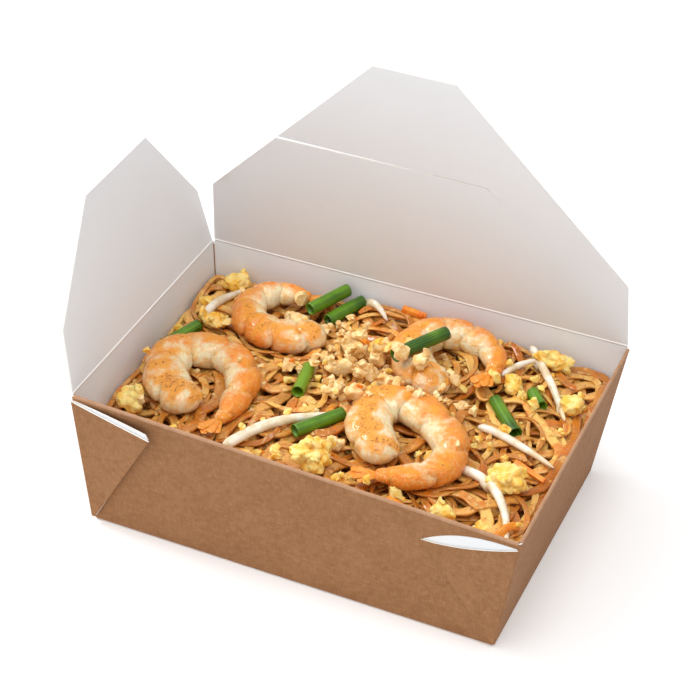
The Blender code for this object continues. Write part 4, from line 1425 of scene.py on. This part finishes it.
# %% Prawn finish
def prawn_finish():
    material, tree = finish("prawn_flesh")
    mottle = tree.grain(380, detail=6, roughness=0.72)
    fibres = tree.grain(1300, detail=3)
    tone = tree.ramp(tree.attribute("coral") + 1.5 * (mottle - 0.5) + 0.3 * (fibres - 0.5), -0.06, 0.96)
    glaze = tree.ramp(tree.grain(210, detail=4, roughness=0.6, distortion=0.6), 0.45, 0.62)
    flesh = tree.mix(glaze * 0.75, (1.0, 0.84, 0.54), (1.0, 0.58, 0.17))
    colour = tree.mix(tone, flesh, (0.96, 0.27, 0.012))
    veins = tree.ramp(tree.grain(560, detail=4, roughness=0.65, distortion=0.8), 0.47, 0.64)
    colour = tree.mix(veins * tone * 0.6, colour, (1.0, 0.58, 0.20))
    pan_marks = tree.grain(430, detail=4, roughness=0.7)
    scorch = tree.ramp(tree.attribute("sear") + 1.3 * (pan_marks - 0.5), 0.12, 0.85)
    colour = tree.mix(scorch * 0.9, colour, (0.98, 0.38, 0.02))
    specks = tree.ramp(tree.grain(640, detail=4, roughness=0.7) + 0.30 * tree.attribute("sear"), 0.80, 0.92)
    colour = tree.mix(specks * 0.75, colour, (0.36, 0.07, 0.005))
    relief = tree.bump(0.6 * fibres + 2.0 * mottle, 0.8 * MM, 0.85)
    close_finish(tree, Base_Color=colour, Roughness=0.26 + 0.2 * mottle, Normal=relief,
                 Specular_IOR_Level=0.3, Subsurface_Weight=0.25, Subsurface_Radius=(1.0, 0.35, 0.1),
                 Subsurface_Scale=1.2 * MM, Coat_Weight=0.6, Coat_Roughness=0.07)
    return material


PRAWN = prawn_finish()
topping_pieces = []
for seed, (name, prawn) in enumerate(PRAWNS.items()):
    body = add_piece(name + "_cooked", prawn_mesh(name, prawn, seed * 7.7), PRAWN)
    settle_piece(body, "box", "prawn_flesh", name)
    topping_pieces.append(body)

# %% [markdown]
# Scallion pieces
#
# A scallion leaf is a hollow tube. Cut in short lengths it shows an open end, a deep glossy green
# outside with fine lighter lines along it, and a pale wall where it was cut. The tube is turned from
# rings along the solid's own axis, which the longest direction of its points gives.

# %% Scallions
SCALLION_RADIUS = 3.3 * MM
SCALLION_WALL = 0.8 * MM
SCALLION_SIDES = 48
SCALLION_RINGS = 24
SCALLION_BOW = 0.35 * MM
LIME_SCALLIONS = ("scallion_middle",)
LIME_TONE = 0.95


def node_points(name):
    return np.array([tuple(point.co) for point in frame["nodes"][name].data.vertices])


def scallion_mesh(name, seed):
    """A hollow tube, a little bent and squashed, with its ends open and rounded."""
    points = node_points(name)
    middle = points.mean(axis=0)
    direction = Vector(np.linalg.svd(points - middle, full_matrices=False)[2][0])
    reach = float(np.max(np.abs((points - middle) @ np.array(direction))))
    side = direction.cross(UP).normalized()
    upward = side.cross(direction)
    rings = [(share * 2 - 1, 1.0) for share in np.linspace(0, 1, SCALLION_RINGS)]
    inner = 1 - SCALLION_WALL / SCALLION_RADIUS
    rounded = (1 + inner) / 2
    rings = [(-0.97, inner), (-0.995, rounded)] + rings + [(0.995, rounded), (0.97, inner)]
    rings += [(0.4, inner * 0.96), (0, inner * 0.5), (-0.4, inner * 0.96)]
    vertices, lines = [], []
    for place, size in rings:
        bow = SCALLION_BOW * (1 - place * place) * math.sin(seed)
        centre = Vector(middle) + direction * (reach * place) + side * bow
        for index in range(SCALLION_SIDES):
            angle = 2 * math.pi * index / SCALLION_SIDES
            flat = 1 - 0.06 * (0.5 + 0.5 * math.cos(2 * angle + seed))
            radius = SCALLION_RADIUS * size * flat
            vertices.append(centre + side * math.cos(angle) * radius + upward * math.sin(angle) * radius)
            lines.append(index / SCALLION_SIDES)
    count = len(rings)
    faces = []
    for ring in range(count):
        for index in range(SCALLION_SIDES):
            a, b = ring * SCALLION_SIDES + index, ring * SCALLION_SIDES + (index + 1) % SCALLION_SIDES
            c, d = (b + SCALLION_SIDES) % len(vertices), (a + SCALLION_SIDES) % len(vertices)
            faces.append((a, b, c, d))
    mesh = mesh_from(name, vertices, faces)
    angles = np.array(lines, np.float32) * 2 * math.pi
    tone = np.full(len(vertices), LIME_TONE if name in LIME_SCALLIONS else (seed * 0.37) % 0.7)
    store(mesh, round_x=np.cos(angles), round_y=np.sin(angles), tone=tone)
    faced_out(mesh)
    mesh.shade_smooth()
    return mesh

# %% Scallion finish
def scallion_finish():
    material, tree = finish("scallion_leaf")
    tone = tree.attribute("tone")
    around = {0: tree.attribute("round_x"), 1: tree.attribute("round_y"), 2: tone}
    around = tree.node("ShaderNodeCombineXYZ", None, around)
    lines = tree.grain(9, detail=3, roughness=0.7, where=around)
    patches = tree.grain(70, detail=2)
    light = tree.ramp(0.6 * lines + 0.4 * patches, 0.38, 0.66)
    fresh = tree.mix(light, (0.008, 0.058, 0.001), (0.15, 0.34, 0.010))
    colour = tree.mix(tree.ramp(tone, 0.6, 1.0) * 0.75, fresh, (0.20, 0.36, 0.012))
    relief = tree.bump(lines, 0.3 * MM, 0.6)
    close_finish(tree, Base_Color=colour, Roughness=0.26 + 0.14 * patches, Normal=relief,
                 Specular_IOR_Level=0.3, Subsurface_Weight=0.1, Subsurface_Radius=(0.3, 1.0, 0.1),
                 Subsurface_Scale=1 * MM, Coat_Weight=0.45, Coat_Roughness=0.06)
    return material


SCALLION = scallion_finish()
for seed, name in enumerate(node for node in TOPPING_NODES if node.startswith("scallion")):
    tube = add_piece(name + "_tube", scallion_mesh(name, seed * 1.7), SCALLION)
    settle_piece(tube, "box", "scallion_green", name)
    topping_pieces.append(tube)

# %% [markdown]
# Egg and peanut
#
# Scrambled egg is a mass of small soft curds; a chopped peanut is a chunk with flat broken faces. Both
# start as a fine ball that is pushed out from the middle of its solid until it meets the solid's skin,
# so they keep its form. Egg then gets round curds at two sizes, and a nut is cut by flat planes.

# %% Wrapped lumps
EGG_DETAIL = 6
NUT_DETAIL = 4


def wrapped(name, detail, relief):
    """A ball wrapped onto a node from its middle. relief gives a share of the radius at a direction."""
    low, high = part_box(name)
    middle = (low + high) / 2
    tree = tree_of(frame["nodes"][name])
    shape = bmesh.new()
    bmesh.ops.create_icosphere(shape, subdivisions=detail, radius=1)
    for point in shape.verts:
        direction = point.co.normalized()
        hit = tree.ray_cast(middle, direction)
        radius = hit[3] if hit[0] else (high - low).length / 4
        point.co = middle + direction * radius * relief(direction, radius)
    mesh = bpy.data.meshes.new(name)
    shape.to_mesh(mesh)
    shape.free()
    return mesh

# %% Curds and chopped faces
CURD_SIZES = (4.6, 2.1)  # millimetres
CURD_DEPTHS = (0.34, 0.05)
CHOP_CUTS = 7
CHOP_DEPTHS = (0.50, 0.86)
CHOP_ROUGHNESS = 0.10


def curd_relief(seed):
    """Round curds at two sizes: the radius dips between the cells of a Voronoi pattern."""
    shift = Vector((seed * 3.1, seed * 1.7, seed * 2.3))

    def relief(direction, radius):
        place = direction * (radius / MM)
        large, small = (noise.voronoi(place / size + shift)[0][0] for size in CURD_SIZES)
        return 1.02 - CURD_DEPTHS[0] * large**1.6 - CURD_DEPTHS[1] * small**1.5
    return relief


def chop_relief(seed):
    """Flat broken faces: the ball is cut by planes at random tilts and depths."""
    rng = random.Random(seed)
    planes = []
    for _ in range(CHOP_CUTS):
        normal = Vector((rng.gauss(0, 1), rng.gauss(0, 1), rng.gauss(0, 1))).normalized()
        planes.append((normal, rng.uniform(*CHOP_DEPTHS)))

    def relief(direction, radius):
        cut = min(depth / max(direction.dot(normal), 0.05) for normal, depth in planes)
        rough = CHOP_ROUGHNESS * noise.noise(direction * 2.6 + Vector((seed, 0, 0)))
        return min(1.0, cut) + rough - 0.02
    return relief

# %% Egg and peanut finishes
def egg_finish():
    material, tree = finish("scrambled_egg")
    curds = tree.grain(210, detail=4, roughness=0.6)
    colour = tree.mix(tree.ramp(curds, 0.35, 0.62), (0.96, 0.53, 0.060), (0.98, 0.76, 0.28))
    browned = tree.ramp(tree.grain(150, detail=3), 0.60, 0.72)
    colour = tree.mix(browned * 0.45, colour, (0.62, 0.25, 0.03))
    relief = tree.bump(tree.grain(700, detail=3) + curds, 0.5 * MM, 0.7)
    close_finish(tree, Base_Color=colour, Roughness=0.42, Normal=relief,
                 Specular_IOR_Level=0.3, Subsurface_Weight=0.3, Subsurface_Radius=(1.0, 0.6, 0.2),
                 Subsurface_Scale=1.4 * MM, Coat_Weight=0.15, Coat_Roughness=0.25)
    return material


def nut_finish():
    material, tree = finish("roasted_peanut")
    grain = tree.grain(300, detail=4, roughness=0.6)
    colour = tree.mix(tree.ramp(grain, 0.32, 0.66), (0.80, 0.45, 0.125), (0.98, 0.78, 0.42))
    roast = tree.ramp(tree.grain(110, detail=2), 0.58, 0.74)
    colour = tree.mix(roast * 0.5, colour, (0.62, 0.27, 0.055))
    relief = tree.bump(tree.grain(1500, detail=3) + grain, 0.25 * MM, 0.6)
    close_finish(tree, Base_Color=colour, Roughness=0.5, Normal=relief,
                 Specular_IOR_Level=0.3, Subsurface_Weight=0.15, Subsurface_Radius=(1.0, 0.6, 0.3),
                 Subsurface_Scale=1 * MM)
    return material


EGG = egg_finish()
NUT = nut_finish()
for seed, name in enumerate(TOPPING_NODES):
    if name.startswith("egg"):
        lump = add_piece(name + "_curds", wrapped(name, EGG_DETAIL, curd_relief(seed)), EGG)
        lump.data.shade_smooth()
        settle_piece(lump, "box", "fried_egg", name)
        topping_pieces.append(lump)
    if name.startswith("peanut"):
        chunk = add_piece(name + "_chunk", wrapped(name, NUT_DETAIL, chop_relief(seed)), NUT)
        round_off(chunk.data, 28)
        settle_piece(chunk, "box", "roasted_peanut", name)
        topping_pieces.append(chunk)

# %% [markdown]
# Bean sprouts and carrot
#
# A bean sprout is a white, watery stem that thins to a root; the carrot is cut in square strips. Both
# use the noodles' sweeping tree with another section. Their routes are listed one by one, because each
# one shows, and they rest on the map that the noodles have raised.

# %% Sprouts and carrot strips
SPROUTS = [
    ([(-92, 30), (-89, 46), (-83, 64)], 2.2),
    ([(-40, -58), (-30, -43), (-16, -29), (0, -15)], 2.5),
    ([(-28, 72), (-19, 69), (-9, 63)], 1.9),
    ([(62, 70), (73, 55), (86, 38), (94, 26)], 2.0),
    ([(57, 42), (62, 52), (68, 60)], 1.7),
    ([(64, -30), (80, -37), (92, -51), (99, -67)], 2.5),
    ([(60, 4), (74, 0), (88, -5), (101, -11)], 2.2),
    ([(-58, -62), (-46, -66), (-30, -64)], 1.6),
    ([(20, -66), (33, -69), (48, -62)], 1.6),
]
CARROTS = [
    ([(-4, 70), (8, 70)], 1.5), ([(18, 70), (35, 68)], 1.7), ([(93, -66), (99, -54)], 1.7),
    ([(-76, -58), (-64, -62)], 1.5), ([(42, -64), (54, -66)], 1.4), ([(84, -14), (100, -20)], 1.3),
    ([(-99, 8), (-95, 16)], 1.6), ([(-20, 48), (-10, 40)], 1.1),
]
TAIL_SHARE = 0.42
STRIP_PASSES = 60

# %% Laying the strips
def sprout_widths(count, half_width):
    """Full for the first half, then thinning to the root, with a rounded start."""
    shares = np.linspace(0, 1, count)
    widths = np.where(shares < 0.45, 1, 1 - (1 - TAIL_SHARE) * (np.maximum(shares - 0.45, 0) / 0.55) ** 1.3)
    return half_width * widths * np.minimum(1, 0.45 + shares * 12) * np.minimum(1, 0.3 + (1 - shares) * 14)


def lay_strips(routes, round_section):
    """Strands along listed routes, resting on the noodles."""
    made = []
    for number, (route, half) in enumerate(routes):
        half_width = half * MM
        length = sum(math.dist(a, b) for a, b in zip(route, route[1:])) * MM
        count = max(8, int(length / (1.5 * MM)))
        line = spline_points([(x * MM, y * MM, 0) for x, y in route], count)
        path = np.array([tuple(point)[:2] for point in line])
        if not round_section:
            path = np.array([path[0] + (path[-1] - path[0]) * share for share in np.linspace(0, 1, count)])
        lift, side = rest(path, half_width, 1.5 * half_width, level, ceiling, STRIP_PASSES)
        raise_map(level, path, lift, side, half_width, 1.5 * half_width)
        widths = sprout_widths(count, half_width) if round_section else np.full(count, half_width)
        along = np.linspace(0, length, count)
        made.append((np.column_stack((path, lift)), widths, np.full(count, 0.4 * number), 0.5, along))
    return made

# %% Sprout and carrot finishes
def sprout_finish():
    material, tree = finish("bean_sprout")
    lines = tree.grain(160, detail=3)
    root = tree.ramp(tree.attribute("along"), 0.02, 0.06)
    colour = tree.mix(tree.ramp(lines, 0.35, 0.65), (0.74, 0.60, 0.38), (0.92, 0.87, 0.75))
    colour = tree.mix(root * 0.35, colour, (0.80, 0.60, 0.30))
    relief = tree.bump(lines, 0.2 * MM, 0.5)
    close_finish(tree, Base_Color=colour, Roughness=0.25 + 0.1 * lines, Normal=relief,
                 Subsurface_Weight=0.45, Subsurface_Radius=(1.0, 0.9, 0.7), Subsurface_Scale=2 * MM,
                 Coat_Weight=0.35, Coat_Roughness=0.15)
    return material


def carrot_finish():
    material, tree = finish("carrot_strip")
    flesh = tree.grain(260, detail=3)
    colour = tree.mix(tree.ramp(flesh, 0.3, 0.7), (0.86, 0.20, 0.008), (0.93, 0.36, 0.03))
    relief = tree.bump(flesh, 0.25 * MM, 0.6)
    close_finish(tree, Base_Color=colour, Roughness=0.35 + 0.15 * flesh, Normal=relief,
                 Subsurface_Weight=0.25, Subsurface_Radius=(1.0, 0.35, 0.1), Subsurface_Scale=1.2 * MM,
                 Coat_Weight=0.3, Coat_Roughness=0.2)
    return material


CARROT = carrot_finish()
sprouts = swept_piece("bean_sprouts", lay_strips(SPROUTS, True), sprout_finish(), 1.7, 0.8, 4)
settle_piece(sprouts, "box", "rice_noodle", "noodle_heap")
carrots = swept_piece("carrot_strips", lay_strips(CARROTS, False), CARROT, 1.8, 0.16, 2)
settle_piece(carrots, "box", "rice_noodle", "noodle_heap")

# %% [markdown]
# Crumbs and curds
#
# Chopped nuts and small curds of egg lie all over the noodles, thickest in the middle. Python finds
# where each one comes to rest: on the highest of a few points straight under it, or on a bit that
# already lies there. Geometry Nodes then set one of a few chopped shapes on every spot, turned and
# scaled by the spot's own attributes.

# %% Scattered bits
BIT_SHAPES = 9
BIT_DETAIL = 2
BIT_LUMPS = 0.75
PILE_LIMIT = 3.2 * MM
SLIP_DEPTH = 0.1 * MM
BIT_TOUCH = 0.8  # bits touch where their middles are nearer than this share of their sizes
BIT_STACK = 0.55
BIT_LIFT = 0.25
FLAP_REACH = -25 * MM
FLAP_SPACE = 0.6 * MM
BIT_SEED = 17
# Each patch: middle, spread and number of bits, then their half sizes, in millimetres
NUT_PATCHES = [
    ((-4, 15), (19, 15), 62, (1.3, 3.2)), ((16, 6), (15, 14), 34, (1.1, 2.8)),
    ((-16, 36), (15, 10), 24, (1.3, 3.0)), ((-42, 42), (16, 12), 14, (1.4, 2.8)),
    ((40, 12), (10, 9), 12, (1.4, 2.8)), ((0, 0), (62, 42), 80, (0.7, 1.8)),
]
EGG_PATCHES = [
    ((0, -10), (62, 36), 90, (0.8, 2.2)), ((74, 40), (18, 16), 26, (1.2, 2.6)),
    ((-84, 20), (10, 34), 26, (1.2, 2.8)), ((20, -58), (40, 8), 26, (1.2, 2.6)),
    ((4, 34), (9, 8), 12, (1.8, 3.2)),
]
CARROT_PATCHES = [((0, 0), (66, 42), 34, (0.7, 1.5))]

# %% Scattering tree
def scatter_tree(name):
    """Geometry Nodes that set one shape of a collection on every point."""
    inputs = {"Spots": "Geometry", "Shapes": "Collection", "Finish": "Material"}
    group, tree, (spots, shapes, material) = node_group(name, inputs, "Bits")
    kinds = tree.node(
        "GeometryNodeCollectionInfo", None,
        {"Collection": shapes, "Separate Children": True, "Reset Children": True},
    )
    turn = tree.node("FunctionNodeEulerToRotation", None, {"Euler": tree.stored("turn", "FLOAT_VECTOR")})
    placed = tree.node(
        "GeometryNodeInstanceOnPoints", None,
        {"Points": spots, "Instance": kinds, "Pick Instance": True,
         "Instance Index": tree.stored("kind", "INT"), "Rotation": turn,
         "Scale": tree.stored("size", "FLOAT_VECTOR")},
    )
    placed = tree.node("GeometryNodeRealizeInstances", None, {"Geometry": placed})
    placed = tree.node("GeometryNodeSetMaterial", None, {"Geometry": placed, "Material": material})
    tree.node("NodeGroupOutput", None, {0: placed}, None)
    return group

# %% A few small shapes
def bit_shapes(name, relief_maker):
    """A collection of small shapes, each a ball cut or lumped by its own relief."""
    home = bpy.data.collections.new(name)
    for number in range(BIT_SHAPES):
        shape = bmesh.new()
        bmesh.ops.create_icosphere(shape, subdivisions=BIT_DETAIL, radius=1)
        relief = relief_maker(number + 50)
        for point in shape.verts:
            direction = point.co.normalized()
            lump = 1 + BIT_LUMPS * noise.noise(direction * 1.4 + Vector((number * 5, 0, 0)))
            point.co = direction * relief(direction, 4 * MM) * lump
        mesh = bpy.data.meshes.new(f"{name}_{number}")
        shape.to_mesh(mesh)
        shape.free()
        home.objects.link(bpy.data.objects.new(f"{name}_{number}", mesh))
    return home

# %% Where each bit comes to rest
def meets_flap(x, y, top):
    """Whether a bit would stand in the way of the closed left flap."""
    return x < FLAP_REACH and top > HEIGHT - RIM_TWIST * y / (RIM_WIDTH / 2) - FLAP_SPACE


def drop_bits(rng, patches, ground, lying, slippery, kept):
    """Spots where bits come to rest: x, y, z and half size. Bits that already lie count as ground.

    Of those that fall on something slippery, only a share is kept.
    """
    spots = []
    for middle, spread, count, sizes in patches:
        for _ in range(count):
            size = rng.uniform(*sizes) * MM
            x, y = (rng.gauss(m, s) * MM for m, s in zip(middle, spread))
            if not inside(x, y, size + 1 * MM):
                continue
            around = [(0, 0), (0.6, 0), (-0.6, 0), (0, 0.6), (0, -0.6)]
            starts = [Vector((x + a * size, y + b * size, CAST_HEIGHT)) for a, b in around]
            hits = [ground.ray_cast(start, DOWN)[0] for start in starts]
            slope = slippery.ray_cast(Vector((x, y, CAST_HEIGHT)), DOWN)[0]
            if slope and hits[0] and slope.z > hits[0].z - SLIP_DEPTH and rng.random() > kept:
                continue
            bottom = max(hit.z for hit in hits if hit) + BIT_LIFT * size
            height = bottom
            for other_x, other_y, other_z, other in lying:
                away = math.hypot(x - other_x, y - other_y)
                if away < BIT_TOUCH * (size + other):
                    share = away / (BIT_TOUCH * (size + other))
                    stacked = BIT_STACK * (size + other) * math.sqrt(1 - share * share)
                    height = max(height, other_z + stacked)
            if height - bottom < PILE_LIMIT and not meets_flap(x, y, height + 1.2 * size):
                spots.append((x, y, height, size))
                lying.append((x, y, height, size))
    return spots

# %% Scatter the bits
def scattered_piece(name, spots, shapes, material, rng, slot_name):
    mesh = bpy.data.meshes.new(name)
    mesh.from_pydata([spot[:3] for spot in spots], [], [])
    turns = [rng.uniform(0, 2 * math.pi) for _ in range(3 * len(spots))]
    sizes = [spot[3] * rng.uniform(0.8, 1.5) for spot in spots for _ in range(3)]
    kinds = [rng.randrange(BIT_SHAPES) for _ in spots]
    mesh.attributes.new("turn", "FLOAT_VECTOR", "POINT").data.foreach_set("vector", turns)
    mesh.attributes.new("size", "FLOAT_VECTOR", "POINT").data.foreach_set("vector", sizes)
    mesh.attributes.new("kind", "INT", "POINT").data.foreach_set("value", kinds)
    piece = add_piece(name, mesh)
    piece.data = modified(piece, scatter_tree("scatter " + name), Shapes=shapes, Finish=material)
    piece.data.name = name
    round_off(piece.data, 35)
    for shape in list(shapes.objects):
        bpy.data.objects.remove(shape)
    bpy.data.collections.remove(shapes)
    settle_piece(piece, "box", slot_name, "noodle_heap")
    return piece


laid = [bpy.data.objects[name] for name in (*NOODLE_LAYERS, "heap_core")]
ground = tree_of(*laid, sprouts, carrots, *topping_pieces)
bit_rng = random.Random(BIT_SEED)
lying = []
smooth_pieces = [piece for piece in topping_pieces if not piece.name.startswith(("egg", "peanut"))]
slippery = tree_of(sprouts, *smooth_pieces)
nut_spots = drop_bits(bit_rng, NUT_PATCHES, ground, lying, slippery, 0.22)
egg_spots = drop_bits(bit_rng, EGG_PATCHES, ground, lying, slippery, 0.04)
carrot_spots = drop_bits(bit_rng, CARROT_PATCHES, ground, lying, slippery, 0)
scattered_piece("nut_crumbs", nut_spots, bit_shapes("nut_bit", chop_relief), NUT, bit_rng, "roasted_peanut")
scattered_piece("egg_crumbs", egg_spots, bit_shapes("egg_bit", curd_relief), EGG, bit_rng, "fried_egg")
scattered_piece("carrot_crumbs", carrot_spots, bit_shapes("carrot_bit", chop_relief), CARROT, bit_rng,
                "rice_noodle")
